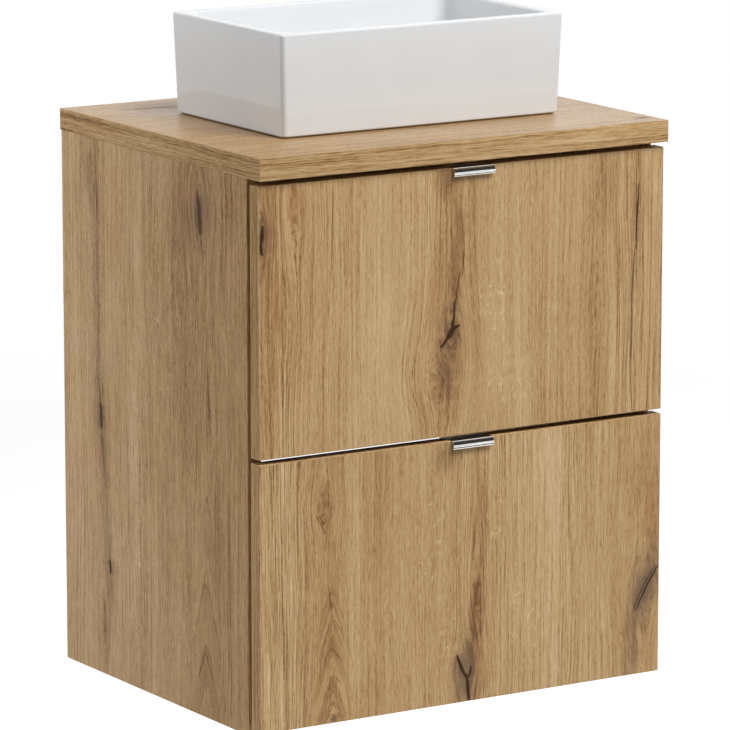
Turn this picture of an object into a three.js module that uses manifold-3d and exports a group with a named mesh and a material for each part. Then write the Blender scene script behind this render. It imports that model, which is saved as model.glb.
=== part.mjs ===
// Wall-hung bathroom vanity: a two-drawer cabinet that carries a vessel basin, its waste and its trap.
//
// Millimetres. X runs from left to right, Y towards the wall and Z up. The origin lies on the wall
// plane, at the middle of the steel rail that carries the cabinet.

import * as THREE from 'three';
import { RoundedBoxGeometry } from 'three/addons/geometries/RoundedBoxGeometry.js';
import { mergeVertices } from 'three/addons/utils/BufferGeometryUtils.js';
import Module from 'manifold-3d';

// Gaps between neighbours
const seam = 0.2; // glued or screwed boards
const bandSeam = 0.05; // an edge band on its board
const fit = 0.3; // turned, cut or sliding faces

// Worktop
const topWidth = 500;
const topDepth = 414;
const topThickness = 23;
const bandThickness = 1.2;

// Cabinet
const cabinetHeight = 580;
const boardThickness = 16;
const sideOverhang = 1.5; // worktop beyond each side panel
const frontOverhang = 29; // worktop ahead of the side panels
const topRailDepth = 80;
const hangingRailHeight = 100;
const lowerRailHeight = 60;
const railRecess = 12; // wall plane to the rear rails

// Wall rail and hangers
const railDrop = 70; // worktop surface down to the origin
const railEndGap = 12.5; // wall rail's end to the side panel
const wallRailHeight = 30;
const railGauge = 2;
const lipReach = 8;
const lipRise = 12;
const hangerWidth = 36;
const hangerDepth = 18;
const hangerAbove = 8; // hanger body above its arm's underside
const hangerBelow = 52; // hanger body below its arm's underside
const armGauge = 5;
const tongueGauge = 3;

// Drawer fronts
const frontThickness = 18;
const frontStandoff = 5; // behind a closed front
const frontRound = 2;
const topGap = 6; // worktop to the upper front
const frontGap = 4.5; // between the fronts
const bottomReveal = 6.5; // side panels below the lower front

// Drawer boxes
const boxBehind = 16.8; // drawer box to the rear rails
const boxLift = 14; // front's lower edge to the box
const drawerBoard = 12;
const sideHeight = 150;
const siphonCutWidth = 150;
const siphonCutAhead = 60; // trap's axis to the front of the cut

// Runners
const runnerHeight = 45;
const runnerThickness = 12.7;
const runnerGauge = 1.5;
const runnerSetback = 4; // cabinet's front edge to the runner
const runnerBehind = 3; // runner to the rear rails
const runnerLift = 50; // box's underside to the runner's axis
const memberStep = 2.5; // cabinet member's back to the middle member's back
const flangeReach = 8; // a middle or drawer member's back to its flanges' ends

// Pulls
const pullWidth = 50;
const pullGauge = 1.5;
const pullReach = 5.5; // ahead of the front
const pullDrop = 7; // front's top edge to the start of the curl
const pullCurl = 2; // outer radius of the curled lower edge
const curlTurn = 70; // degrees
const pullTail = 20; // down the back of the front
const screwDrop = 12;
const screwShank = 1.7;
const screwHead = 3.5;
const screwHeadHeight = 2;
const screwLength = 13;
const screwSpacing = 32;

// Basin
const basinWidth = 347;
const basinDepth = 226;
const basinHeight = 108;
const basinOffset = 8; // right of the cabinet's middle, with the pulls below it
const basinSetback = 96; // worktop's front edge to the rim
const basinTaper = 3.5;
const basinCorner = 5;
const rimWidth = 12;
const rimRound = 2.5;
const footRound = 1.5;
const bowlFlare = 4;
const bowlTaper = 6;
const bowlCorner = 16;
const bowlCove = 22;
const basinFloor = 18;

// Waste
const wasteHole = 22.5; // radius through the basin and the worktop
const wasteTube = 20.5;
const wasteBore = 17.5;
const flangeRadius = 32;
const flangeThickness = 3;
const sealThickness = 1.5;
const spiderDrop = 14; // flange's top to the spider's top
const spiderHeight = 10;
const spiderBoss = 8;
const spiderArm = 3;
const stemRadius = 4;
const stemBelow = 16; // stem's end below the spider
const plugTravel = 8;
const capRadius = 30;
const capThickness = 2.5;
const capCrown = 2.5;
const gasketThickness = 3;
const gasketRadius = 31;
const lockNutHeight = 12;
const lockNutRadius = 30;
const wasteBelow = 45; // worktop's underside to the tube's end

// Trap
const pipeRadius = 16;
const pipeWall = 1.5;
const collarThickness = 2.7;
const unionRadius = 26;
const unionWall = 4;
const unionGrip = 15;
const bottleDrop = 102; // worktop's underside to the bottle's shoulder
const bottleRadius = 31;
const bottleWall = 3;
const bottleHeight = 66;
const neckRadius = 21;
const neckHeight = 14;
const outletBelow = 26; // bottle's shoulder to the outlet's axis
const outletReach = 24; // bottle's wall to the outlet's end
const pipeInsert = 12; // outlet pipe inside the outlet
const dipBelow = 18; // dip tube below the bottle's rim
const cupWall = 3;
const cupGrip = 13;
const cupDepth = 40;
const rosetteRadius = 40;
const rosetteDepth = 9;
const rosetteWall = 1.2;

const roundSides = 28;

// Places that follow from the sizes
const worktopSurface = railDrop;
const worktopUnder = worktopSurface - topThickness;
const cabinetTop = worktopUnder - seam;
const cabinetBase = worktopUnder - cabinetHeight;
const worktopFront = -topDepth;
const cabinetFront = worktopFront + frontOverhang;
const frontBack = cabinetFront - frontStandoff;
const frontFace = frontBack - frontThickness;
const cabinetHalf = topWidth / 2 - sideOverhang;
const innerHalf = cabinetHalf - boardThickness;
const railBack = -railRecess;
const railFace = railBack - boardThickness;
const frontHeight = (cabinetHeight - topGap - frontGap - bottomReveal) / 2;
const upperFrontBase = worktopUnder - topGap - frontHeight;
const lowerFrontBase = upperFrontBase - frontGap - frontHeight;
const wasteY = worktopFront + basinSetback + basinDepth / 2;
const basinFoot = worktopSurface + fit;
const bowlFloor = basinFoot + basinFloor;

const finishes = {
  oak: { color: 0xc39a66, roughness: 0.55, metalness: 0 },
  oakBand: { color: 0xb78d58, roughness: 0.5, metalness: 0 },
  carcass: { color: 0xbfa27a, roughness: 0.6, metalness: 0 },
  drawerBoard: { color: 0x6f6a63, roughness: 0.6, metalness: 0 },
  chrome: { color: 0xd8dadc, roughness: 0.12, metalness: 1 },
  steel: { color: 0xaeb2b5, roughness: 0.35, metalness: 1 },
  ceramic: { color: 0xf2f3f2, roughness: 0.12, metalness: 0 },
  rubber: { color: 0x232323, roughness: 0.85, metalness: 0 },
  plastic: { color: 0xe9eaea, roughness: 0.4, metalness: 0 },
};

const wasm = await Module();
wasm.setup();

function solidOf(geometry) {
  const bare = geometry.clone();
  bare.deleteAttribute('normal');
  bare.deleteAttribute('uv');
  const merged = mergeVertices(bare);
  const mesh = new wasm.Mesh({
    numProp: 3,
    vertProperties: merged.attributes.position.array,
    triVerts: Uint32Array.from(merged.index.array),
  });
  return new wasm.Manifold(mesh);
}

function geometryOf(solid) {
  const mesh = solid.getMesh();
  const geometry = new THREE.BufferGeometry();
  geometry.setAttribute('position', new THREE.BufferAttribute(mesh.vertProperties, 3));
  geometry.setIndex(new THREE.BufferAttribute(mesh.triVerts, 1));
  geometry.computeVertexNormals();
  return geometry;
}

function joined(first, ...others) {
  const solid = others.reduce((sum, other) => sum.add(solidOf(other)), solidOf(first));
  return geometryOf(solid);
}

function cutBy(body, ...tools) {
  const solid = tools.reduce((rest, tool) => rest.subtract(solidOf(tool)), solidOf(body));
  return geometryOf(solid);
}

function addMesh(group, name, finish, geometry, x = 0, y = 0, z = 0) {
  const mesh = new THREE.Mesh(geometry, new THREE.MeshStandardMaterial(finishes[finish]));
  mesh.name = name;
  mesh.position.set(x, y, z);
  group.add(mesh);
  return mesh;
}

function middle(range) {
  return (range[0] + range[1]) / 2;
}

function span(range) {
  return range[1] - range[0];
}

// A box that fills three ranges of a group's coordinates.
function addBoard(group, name, finish, x, y, z) {
  const geometry = new THREE.BoxGeometry(span(x), span(y), span(z));
  return addMesh(group, name, finish, geometry, middle(x), middle(y), middle(z));
}

function boxAt(x, y, z) {
  return new THREE.BoxGeometry(span(x), span(y), span(z)).translate(middle(x), middle(y), middle(z));
}

// An outline drawn in (y, z), extruded evenly to both sides along X.
function alongX(outline, length, curveSegments = 6) {
  const options = { depth: length, bevelEnabled: false, curveSegments };
  const geometry = new THREE.ExtrudeGeometry(outline, options).translate(0, 0, -length / 2);
  const turn = new THREE.Matrix4().makeBasis(
    new THREE.Vector3(0, 1, 0),
    new THREE.Vector3(0, 0, 1),
    new THREE.Vector3(1, 0, 0),
  );
  return geometry.applyMatrix4(turn);
}

// An outline drawn in (x, z), extruded evenly to both sides along Y.
function alongY(outline, length) {
  const options = { depth: length, bevelEnabled: false };
  const geometry = new THREE.ExtrudeGeometry(outline, options).translate(0, 0, -length / 2);
  const turn = new THREE.Matrix4().makeBasis(
    new THREE.Vector3(1, 0, 0),
    new THREE.Vector3(0, 0, 1),
    new THREE.Vector3(0, -1, 0),
  );
  return geometry.applyMatrix4(turn);
}

function polygon(points) {
  return new THREE.Shape(points.map(([a, b]) => new THREE.Vector2(a, b)));
}

// A body of revolution about Y, from a closed run of (radius, height) points.
function turned(points, sides = roundSides) {
  const profile = points.map(([radius, height]) => new THREE.Vector2(radius, height));
  return new THREE.LatheGeometry(profile, sides);
}

function upright(geometry) {
  return geometry.rotateX(Math.PI / 2);
}

// A plain tube between two heights.
function tube(outer, inner, low, high) {
  return turned([[inner, low], [outer, low], [outer, high], [inner, high], [inner, low]]);
}

// A plain rod between two heights.
function rod(radius, low, high) {
  return turned([[0, low], [radius, low], [radius, high], [0, high]]);
}

// One level of a block with rounded upright corners, as points in order round the block.
function roundedLevel(width, depth, corner, z) {
  const perCorner = 6;
  const points = [];
  for (const [sx, sy, start] of [[1, 1, 0], [-1, 1, 90], [-1, -1, 180], [1, -1, 270]]) {
    for (let i = 0; i <= perCorner; i += 1) {
      const angle = THREE.MathUtils.degToRad(start + (90 * i) / perCorner);
      const x = sx * (width / 2 - corner) + corner * Math.cos(angle);
      const y = sy * (depth / 2 - corner) + corner * Math.sin(angle);
      points.push(new THREE.Vector3(x, y, z));
    }
  }
  return points;
}

// A closed block through levels that rise from the first to the last.
function loft(levels) {
  const count = levels[0].length;
  const points = levels.flat();
  const low = points.length;
  const high = low + 1;
  points.push(new THREE.Vector3(0, 0, levels[0][0].z));
  points.push(new THREE.Vector3(0, 0, levels.at(-1)[0].z));
  const faces = [];
  for (let i = 0; i < count; i += 1) {
    const next = (i + 1) % count;
    faces.push(low, next, i);
    const top = (levels.length - 1) * count;
    faces.push(high, top + i, top + next);
    for (let row = 0; row < levels.length - 1; row += 1) {
      const a = row * count;
      const b = a + count;
      faces.push(a + i, a + next, b + next);
      faces.push(a + i, b + next, b + i);
    }
  }
  const geometry = new THREE.BufferGeometry().setFromPoints(points);
  geometry.setIndex(faces);
  geometry.computeVertexNormals();
  return geometry;
}

// ---- Worktop ----

function buildWorktop() {
  const group = new THREE.Group();
  const coreHalf = topWidth / 2 - bandThickness - bandSeam;
  const coreFront = worktopFront + bandThickness + bandSeam;
  const thickness = [worktopUnder, worktopSurface];
  const core = boxAt([-coreHalf, coreHalf], [coreFront, 0], thickness);
  const hole = upright(rod(wasteHole, worktopUnder - 1, worktopSurface + 1));
  hole.translate(basinOffset, wasteY, 0);
  addMesh(group, 'worktop', 'oak', cutBy(core, hole));
  const frontBand = [worktopFront, worktopFront + bandThickness];
  const fullWidth = [-topWidth / 2, topWidth / 2];
  addBoard(group, 'worktop_front_band', 'oakBand', fullWidth, frontBand, thickness);
  for (const [name, side] of [['left', -1], ['right', 1]]) {
    const outer = (side * topWidth) / 2;
    const inner = outer - side * bandThickness;
    const width = [Math.min(outer, inner), Math.max(outer, inner)];
    addBoard(group, `worktop_${name}_band`, 'oakBand', width, [coreFront, 0], thickness);
  }
  return group;
}

// ---- Cabinet ----

function buildCabinet() {
  const group = new THREE.Group();
  const height = [cabinetBase, cabinetTop];
  const between = [-innerHalf + seam, innerHalf - seam];
  for (const [name, side] of [['left', -1], ['right', 1]]) {
    const faces = [side * innerHalf, side * cabinetHalf];
    const width = [Math.min(...faces), Math.max(...faces)];
    addBoard(group, `${name}_side_panel`, 'oak', width, [cabinetFront, 0], height);
  }
  const bottomTop = cabinetBase + boardThickness;
  addBoard(group, 'bottom_panel', 'carcass', between, [cabinetFront, 0], [cabinetBase, bottomTop]);
  const topRail = [cabinetFront, cabinetFront + topRailDepth];
  const topRailHeight = [cabinetTop - boardThickness, cabinetTop];
  addBoard(group, 'front_top_rail', 'carcass', between, topRail, topRailHeight);
  const lowerRail = [bottomTop + seam, bottomTop + seam + lowerRailHeight];
  addBoard(group, 'rear_lower_rail', 'carcass', between, [railFace, railBack], lowerRail);
  const railHeight = [cabinetTop - hangingRailHeight, cabinetTop];
  const hangingRail = boxAt(between, [railFace, railBack], railHeight);
  const slots = hangerPlaces().map((x) => hangerSlot(x));
  addMesh(group, 'rear_hanging_rail', 'carcass', cutBy(hangingRail, ...slots));
  return group;
}

// ---- Wall rail and hangers ----

const lipFoot = wallRailHeight / 2;
const lipTop = lipFoot + lipRise;
const armUnder = lipTop + fit;

function hangerPlaces() {
  const reach = innerHalf - fit - hangerWidth / 2;
  return [-reach, reach];
}

function hangerSlot(x) {
  const width = [x - hangerWidth / 2 - fit, x + hangerWidth / 2 + fit];
  const depth = [railFace - 1, railBack + 1];
  return boxAt(width, depth, [armUnder - fit, armUnder + armGauge + fit]);
}

function buildHanging() {
  const group = new THREE.Group();
  const rail = polygon([
    [0, -wallRailHeight / 2],
    [0, lipFoot],
    [-lipReach + railGauge, lipFoot],
    [-lipReach + railGauge, lipTop],
    [-lipReach, lipTop],
    [-lipReach, lipFoot - railGauge],
    [-railGauge, lipFoot - railGauge],
    [-railGauge, -wallRailHeight / 2],
  ]);
  addMesh(group, 'wall_rail', 'steel', alongX(rail, 2 * (innerHalf - railEndGap)));
  const bodyBack = railFace - fit;
  const tongueFront = -lipReach + railGauge + fit;
  const hanger = polygon([
    [bodyBack - hangerDepth, armUnder - hangerBelow],
    [bodyBack, armUnder - hangerBelow],
    [bodyBack, armUnder],
    [tongueFront, armUnder],
    [tongueFront, lipFoot + fit],
    [tongueFront + tongueGauge, lipFoot + fit],
    [tongueFront + tongueGauge, armUnder + armGauge],
    [bodyBack, armUnder + armGauge],
    [bodyBack, armUnder + hangerAbove],
    [bodyBack - hangerDepth, armUnder + hangerAbove],
  ]);
  const names = ['left_hanger', 'right_hanger'];
  hangerPlaces().forEach((x, i) => {
    addMesh(group, names[i], 'steel', alongX(hanger, hangerWidth), x);
  });
  return group;
}

// ---- Basin ----

function buildBasin() {
  const group = new THREE.Group();
  const outer = [];
  const quarter = [0, 30, 60, 90].map((degrees) => THREE.MathUtils.degToRad(degrees));
  for (const angle of quarter) {
    const inset = basinTaper + footRound * (1 - Math.sin(angle));
    const z = footRound * (1 - Math.cos(angle));
    outer.push(roundedLevel(basinWidth - 2 * inset, basinDepth - 2 * inset, basinCorner, z));
  }
  for (const angle of quarter) {
    const inset = rimRound * (1 - Math.cos(angle));
    const z = basinHeight - rimRound * (1 - Math.sin(angle));
    outer.push(roundedLevel(basinWidth - 2 * inset, basinDepth - 2 * inset, basinCorner, z));
  }
  const bowl = [];
  const wall = rimWidth + bowlTaper;
  for (const angle of quarter) {
    const inset = wall + bowlCove * (1 - Math.sin(angle));
    const z = basinFloor + bowlCove * (1 - Math.cos(angle));
    bowl.push(roundedLevel(basinWidth - 2 * inset, basinDepth - 2 * inset, bowlCorner, z));
  }
  for (const angle of quarter) {
    const inset = rimWidth - bowlFlare * (1 - Math.cos(angle));
    const z = basinHeight - bowlFlare * (1 - Math.sin(angle));
    bowl.push(roundedLevel(basinWidth - 2 * inset, basinDepth - 2 * inset, bowlCorner, z));
  }
  const mouth = rimWidth - bowlFlare;
  bowl.push(roundedLevel(basinWidth - 2 * mouth, basinDepth - 2 * mouth, bowlCorner, basinHeight + 1));
  const hole = upright(rod(wasteHole, -1, basinFloor + 1));
  const shell = cutBy(loft(outer), loft(bowl), hole);
  addMesh(group, 'basin', 'ceramic', shell, basinOffset, wasteY, basinFoot);
  return group;
}

// ---- Waste: placed on the drain's axis, with heights from the origin ----

const flangeUnder = bowlFloor + sealThickness + fit * 2;
const flangeTop = flangeUnder + flangeThickness;
const wasteEnd = worktopUnder - wasteBelow;
const gasketUnder = worktopUnder - fit - gasketThickness;

function onDrain(group, name, finish, geometry) {
  return addMesh(group, name, finish, geometry, basinOffset, wasteY, 0);
}

function buildWaste() {
  const group = new THREE.Group();
  const shell = upright(turned([
    [wasteBore, wasteEnd],
    [wasteTube, wasteEnd],
    [wasteTube, flangeUnder],
    [flangeRadius, flangeUnder],
    [flangeRadius, flangeTop - flangeThickness / 2],
    [flangeRadius - flangeThickness / 2, flangeTop],
    [wasteBore + flangeThickness, flangeTop],
    [wasteBore, flangeTop - flangeThickness],
    [wasteBore, wasteEnd],
  ]));
  const spiderTop = flangeTop - spiderDrop;
  const spiderLevel = [spiderTop - spiderHeight, spiderTop];
  const boss = upright(rod(spiderBoss, ...spiderLevel));
  const reach = (wasteBore + wasteTube) / 2;
  const armAcross = boxAt([-reach, reach], [-spiderArm / 2, spiderArm / 2], spiderLevel);
  const armAlong = boxAt([-spiderArm / 2, spiderArm / 2], [-reach, reach], spiderLevel);
  const bore = upright(rod(stemRadius + fit, spiderLevel[0] - 1, spiderLevel[1] + 1));
  onDrain(group, 'waste_body', 'chrome', cutBy(joined(shell, boss, armAcross, armAlong), bore));
  const sealLow = bowlFloor + fit;
  const seal = upright(tube(flangeRadius - 1, wasteTube + fit, sealLow, sealLow + sealThickness));
  onDrain(group, 'flange_seal', 'rubber', seal);
  const gasket = tube(gasketRadius, wasteTube + fit, gasketUnder, gasketUnder + gasketThickness);
  onDrain(group, 'worktop_gasket', 'rubber', upright(gasket));
  const nutTop = gasketUnder - fit;
  const nut = tube(lockNutRadius, wasteTube + fit, nutTop - lockNutHeight, nutTop);
  onDrain(group, 'lock_nut', 'chrome', upright(nut));
  return group;
}

// The plug stands open at rest, lifted by its travel over the flange.
function buildPlug() {
  const group = new THREE.Group();
  const sealLow = flangeTop + fit + plugTravel;
  const sealHigh = sealLow + sealThickness;
  const capUnder = sealHigh + fit;
  const stemEnd = flangeTop - spiderDrop - spiderHeight - stemBelow;
  const cap = upright(turned([
    [0, stemEnd],
    [stemRadius, stemEnd],
    [stemRadius, capUnder],
    [capRadius, capUnder],
    [capRadius, capUnder + capThickness],
    [capRadius * 0.6, capUnder + capThickness + capCrown * 0.64],
    [0, capUnder + capThickness + capCrown],
  ]));
  onDrain(group, 'plug_cap', 'chrome', cap);
  const sealOuter = capRadius - 2;
  const seal = upright(tube(sealOuter, wasteBore + flangeThickness + 1, sealLow, sealHigh));
  onDrain(group, 'plug_seal', 'rubber', seal);
  return group;
}

// ---- Trap ----

const bottleTop = worktopUnder - bottleDrop;
const bottleRim = bottleTop - bottleHeight;
const outletAxis = bottleTop - outletBelow;
const outletEnd = bottleRadius + outletReach;

// A union nut that grips a tube's end and closes on the pipe that leaves it.
function unionNut(grip, pipe, end) {
  return turned([
    [pipe + fit, end],
    [unionRadius, end],
    [unionRadius, end + unionGrip + unionWall],
    [grip + fit, end + unionGrip + unionWall],
    [grip + fit, end + unionWall],
    [pipe + fit, end + unionWall],
    [pipe + fit, end],
  ]);
}

function buildTrap() {
  const group = new THREE.Group();
  const pipeBore = pipeRadius - pipeWall;
  const collarTop = wasteEnd - fit;
  const collarUnder = collarTop - collarThickness;
  const dipTube = upright(turned([
    [pipeBore, bottleRim - dipBelow],
    [pipeRadius, bottleRim - dipBelow],
    [pipeRadius, collarUnder],
    [wasteTube, collarUnder],
    [wasteTube, collarTop],
    [pipeBore, collarTop],
    [pipeBore, bottleRim - dipBelow],
  ]));
  onDrain(group, 'dip_tube', 'plastic', dipTube);
  const inletEnd = collarUnder - fit - unionWall;
  onDrain(group, 'inlet_nut', 'plastic', upright(unionNut(wasteTube, pipeRadius, inletEnd)));

  const bottleInner = bottleRadius - bottleWall;
  const neckTop = bottleTop + neckHeight;
  const body = upright(turned([
    [0, bottleRim],
    [bottleRadius, bottleRim],
    [bottleRadius, bottleTop - bottleWall],
    [bottleRadius - bottleWall, bottleTop],
    [neckRadius, bottleTop],
    [neckRadius, neckTop],
    [0, neckTop],
  ]));
  const outlet = rod(neckRadius, 0, outletEnd).translate(0, 0, outletAxis);
  const hollow = upright(rod(bottleInner, bottleRim - 1, bottleTop - bottleWall));
  const throat = upright(rod(pipeRadius + fit, bottleRim, neckTop + 1));
  const outletBore = rod(pipeRadius + fit, 0, outletEnd + 1).translate(0, 0, outletAxis);
  const bottle = cutBy(joined(body, outlet), hollow, throat, outletBore);
  onDrain(group, 'trap_bottle', 'plastic', bottle);

  const neckNut = turned([
    [pipeRadius + fit, neckTop + fit],
    [neckRadius + fit, neckTop + fit],
    [neckRadius + fit, bottleTop + fit],
    [unionRadius, bottleTop + fit],
    [unionRadius, neckTop + fit + unionWall],
    [pipeRadius + fit, neckTop + fit + unionWall],
    [pipeRadius + fit, neckTop + fit],
  ]);
  onDrain(group, 'trap_neck_nut', 'plastic', upright(neckNut));

  const cupOuter = bottleRadius + fit + cupWall;
  const cup = upright(turned([
    [0, bottleRim - cupDepth],
    [bottleRadius - cupWall * 2, bottleRim - cupDepth],
    [bottleRadius, bottleRim - cupDepth + cupWall * 2],
    [bottleRadius, bottleRim - cupWall * 2],
    [cupOuter, bottleRim - cupWall],
    [cupOuter, bottleRim + cupGrip],
    [bottleRadius + fit, bottleRim + cupGrip],
    [bottleRadius + fit, bottleRim - fit],
    [bottleRadius - cupWall, bottleRim - fit],
    [bottleRadius - cupWall, bottleRim - cupDepth + cupWall * 2],
    [bottleRadius - cupWall * 2, bottleRim - cupDepth + cupWall],
    [0, bottleRim - cupDepth + cupWall],
  ]));
  onDrain(group, 'trap_cup', 'plastic', cup);

  const pipeStart = outletEnd - pipeInsert;
  const pipe = tube(pipeRadius, pipeBore, pipeStart, -wasteY).translate(0, 0, outletAxis);
  onDrain(group, 'outlet_pipe', 'plastic', pipe);
  const outletNut = unionNut(neckRadius, pipeRadius, 0);
  outletNut.rotateX(Math.PI).translate(0, outletEnd + fit + unionWall, outletAxis);
  onDrain(group, 'outlet_nut', 'plastic', outletNut);
  const rosette = turned([
    [pipeRadius + fit, -rosetteDepth],
    [pipeRadius + fit + rosetteWall * 3, -rosetteDepth],
    [rosetteRadius, -rosetteWall],
    [rosetteRadius, 0],
    [rosetteRadius - rosetteWall, 0],
    [pipeRadius + fit + rosetteWall * 2, -rosetteDepth + rosetteWall],
    [pipeRadius + fit, -rosetteDepth + rosetteWall],
    [pipeRadius + fit, -rosetteDepth],
  ]);
  addMesh(group, 'wall_rosette', 'chrome', rosette, basinOffset, 0, outletAxis);
  return group;
}

// ---- Pull: drawn with y from the front's face and z from its top edge ----

function pullOutline() {
  const bend = pullReach;
  const turnEnd = THREE.MathUtils.degToRad(180 + curlTurn);
  const back = frontThickness + fit;
  const curlX = -pullReach + pullCurl;
  const outline = new THREE.Shape();
  outline.moveTo(back + pullGauge, -pullTail);
  outline.lineTo(back + pullGauge, -pullGauge);
  outline.lineTo(back, 0);
  outline.lineTo(0, 0);
  outline.absarc(0, -bend, bend, Math.PI / 2, Math.PI, false);
  outline.lineTo(-pullReach, -pullDrop);
  outline.absarc(curlX, -pullDrop, pullCurl, Math.PI, turnEnd, false);
  outline.absarc(curlX, -pullDrop, pullCurl - pullGauge, turnEnd, Math.PI, true);
  outline.lineTo(-pullReach + pullGauge, -bend);
  outline.absarc(0, -bend, bend - pullGauge, Math.PI, Math.PI / 2, true);
  outline.lineTo(back, -pullGauge);
  outline.lineTo(back, -pullTail);
  return outline;
}

function screwPlaces() {
  return [-screwSpacing / 2, screwSpacing / 2];
}

function buildPull(name) {
  const group = new THREE.Group();
  const back = frontThickness + fit;
  const holes = screwPlaces().map((x) => {
    return rod(screwShank + fit, back - 1, back + pullGauge + 1).translate(x, 0, -screwDrop);
  });
  const pull = cutBy(alongX(pullOutline(), pullWidth, 5), ...holes);
  addMesh(group, `${name}_pull`, 'chrome', pull);
  const headUnder = back + pullGauge + fit;
  const tip = headUnder - screwLength;
  screwPlaces().forEach((x, i) => {
    const screw = turned([
      [0, tip],
      [screwShank, tip + screwShank],
      [screwShank, headUnder],
      [screwHead, headUnder],
      [screwHead * 0.7, headUnder + screwHeadHeight],
      [0, headUnder + screwHeadHeight],
    ], 12);
    addMesh(group, `${name}_pull_screw_${i + 1}`, 'steel', screw, x, 0, -screwDrop);
  });
  group.position.set(basinOffset, frontFace, 0);
  return group;
}

// A front with a rebate in its top edge for the pull and pilot holes for its screws.
function frontPanel() {
  const size = [2 * cabinetHalf, frontThickness, frontHeight];
  const panel = new RoundedBoxGeometry(...size, 2, frontRound);
  panel.translate(0, frontThickness / 2, -frontHeight / 2);
  const half = pullWidth / 2 + fit;
  const rebateWidth = [basinOffset - half, basinOffset + half];
  const rebate = boxAt(rebateWidth, [-1, frontThickness + 1], [-pullGauge - fit, 1]);
  const tip = frontThickness + 2 * fit + pullGauge - screwLength;
  const pilots = screwPlaces().map((x) => {
    const pilot = rod(screwShank + fit, tip - fit, frontThickness + 1);
    return pilot.translate(basinOffset + x, 0, -screwDrop);
  });
  return cutBy(panel, rebate, ...pilots);
}

// ---- Drawers ----

const boxHalf = innerHalf - runnerThickness - 2 * fit;
const boxFront = frontBack + seam;
const boxBack = railFace - boxBehind;
const boxInner = boxHalf - drawerBoard;
const cutLeft = basinOffset - siphonCutWidth / 2;
const cutRight = basinOffset + siphonCutWidth / 2;
const cutFront = wasteY - siphonCutAhead;

function buildDrawer(name, frontBase, withSiphonCut) {
  const group = new THREE.Group();
  const frontTop = frontBase + frontHeight;
  addMesh(group, `${name}_drawer_front`, 'oak', frontPanel(), 0, frontFace, frontTop);
  const pull = buildPull(name);
  pull.position.z = frontTop;
  group.add(pull);

  const boxBase = frontBase + boxLift;
  const boardTop = boxBase + drawerBoard;
  const wallHeight = [boardTop + seam, boardTop + seam + sideHeight];
  const addWall = (part, x, y) => {
    addBoard(group, `${name}_drawer_${part}`, 'drawerBoard', x, y, wallHeight);
  };
  addWall('left_side', [-boxHalf, -boxInner], [boxFront, boxBack]);
  addWall('right_side', [boxInner, boxHalf], [boxFront, boxBack]);
  const backDepth = [boxBack - drawerBoard, boxBack];
  const outline = [[-boxHalf, boxFront], [boxHalf, boxFront], [boxHalf, boxBack]];
  if (withSiphonCut) {
    outline.push([cutRight, boxBack], [cutRight, cutFront], [cutLeft, cutFront], [cutLeft, boxBack]);
    const wallLeft = cutLeft - drawerBoard;
    const wallRight = cutRight + drawerBoard;
    addWall('back_left', [-boxInner + seam, wallLeft - seam], backDepth);
    addWall('back_right', [wallRight + seam, boxInner - seam], backDepth);
    addWall('siphon_left', [wallLeft, cutLeft], [cutFront, boxBack]);
    addWall('siphon_right', [cutRight, wallRight], [cutFront, boxBack]);
    addWall('siphon_front', [wallLeft, wallRight], [cutFront - seam - drawerBoard, cutFront - seam]);
  } else {
    addWall('back', [-boxInner + seam, boxInner - seam], backDepth);
  }
  outline.push([-boxHalf, boxBack]);
  const options = { depth: drawerBoard, bevelEnabled: false };
  const bottom = new THREE.ExtrudeGeometry(polygon(outline), options);
  addMesh(group, `${name}_drawer_bottom`, 'drawerBoard', bottom, 0, 0, boxBase);
  return group;
}

// ---- Runners: drawn with u from the side panel inwards and v from the runner's axis ----

// A channel whose web stands at one u and whose flanges reach to another.
function channel(web, reach, half) {
  const step = Math.sign(reach - web) * runnerGauge;
  const corners = [
    [web, -half],
    [reach, -half],
    [reach, -half + runnerGauge],
    [web + step, -half + runnerGauge],
    [web + step, half - runnerGauge],
    [reach, half - runnerGauge],
    [reach, half],
    [web, half],
  ];
  return corners;
}

const memberNest = runnerGauge + fit;
const members = {
  cabinet: channel(0, flangeReach + runnerGauge, runnerHeight / 2),
  middle: channel(memberStep, memberStep + flangeReach, runnerHeight / 2 - memberNest),
  drawer: channel(runnerThickness, runnerThickness - flangeReach, runnerHeight / 2 - 2 * memberNest),
};

function buildRunners(name, frontBase) {
  const group = new THREE.Group();
  const axis = frontBase + boxLift + runnerLift;
  const length = [cabinetFront + runnerSetback, railFace - runnerBehind];
  for (const [sideName, side] of [['left', 1], ['right', -1]]) {
    for (const [memberName, corners] of Object.entries(members)) {
      const outline = polygon(corners.map(([u, v]) => [side * u, v]));
      const member = alongY(outline, span(length));
      const wall = -side * (innerHalf - fit);
      const node = `${name}_${sideName}_runner_${memberName}`;
      addMesh(group, node, 'steel', member, wall, middle(length), axis);
    }
  }
  return group;
}

const vanity = new THREE.Group();
vanity.add(buildWorktop());
vanity.add(buildCabinet());
vanity.add(buildHanging());
vanity.add(buildBasin());
vanity.add(buildWaste());
vanity.add(buildPlug());
vanity.add(buildTrap());
vanity.add(buildDrawer('upper', upperFrontBase, true));
vanity.add(buildDrawer('lower', lowerFrontBase, false));
vanity.add(buildRunners('upper', upperFrontBase));
vanity.add(buildRunners('lower', lowerFrontBase));

export default vanity;
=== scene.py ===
import math
from functools import partial
import bmesh
import bpy
from mathutils import Matrix, Vector


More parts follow.
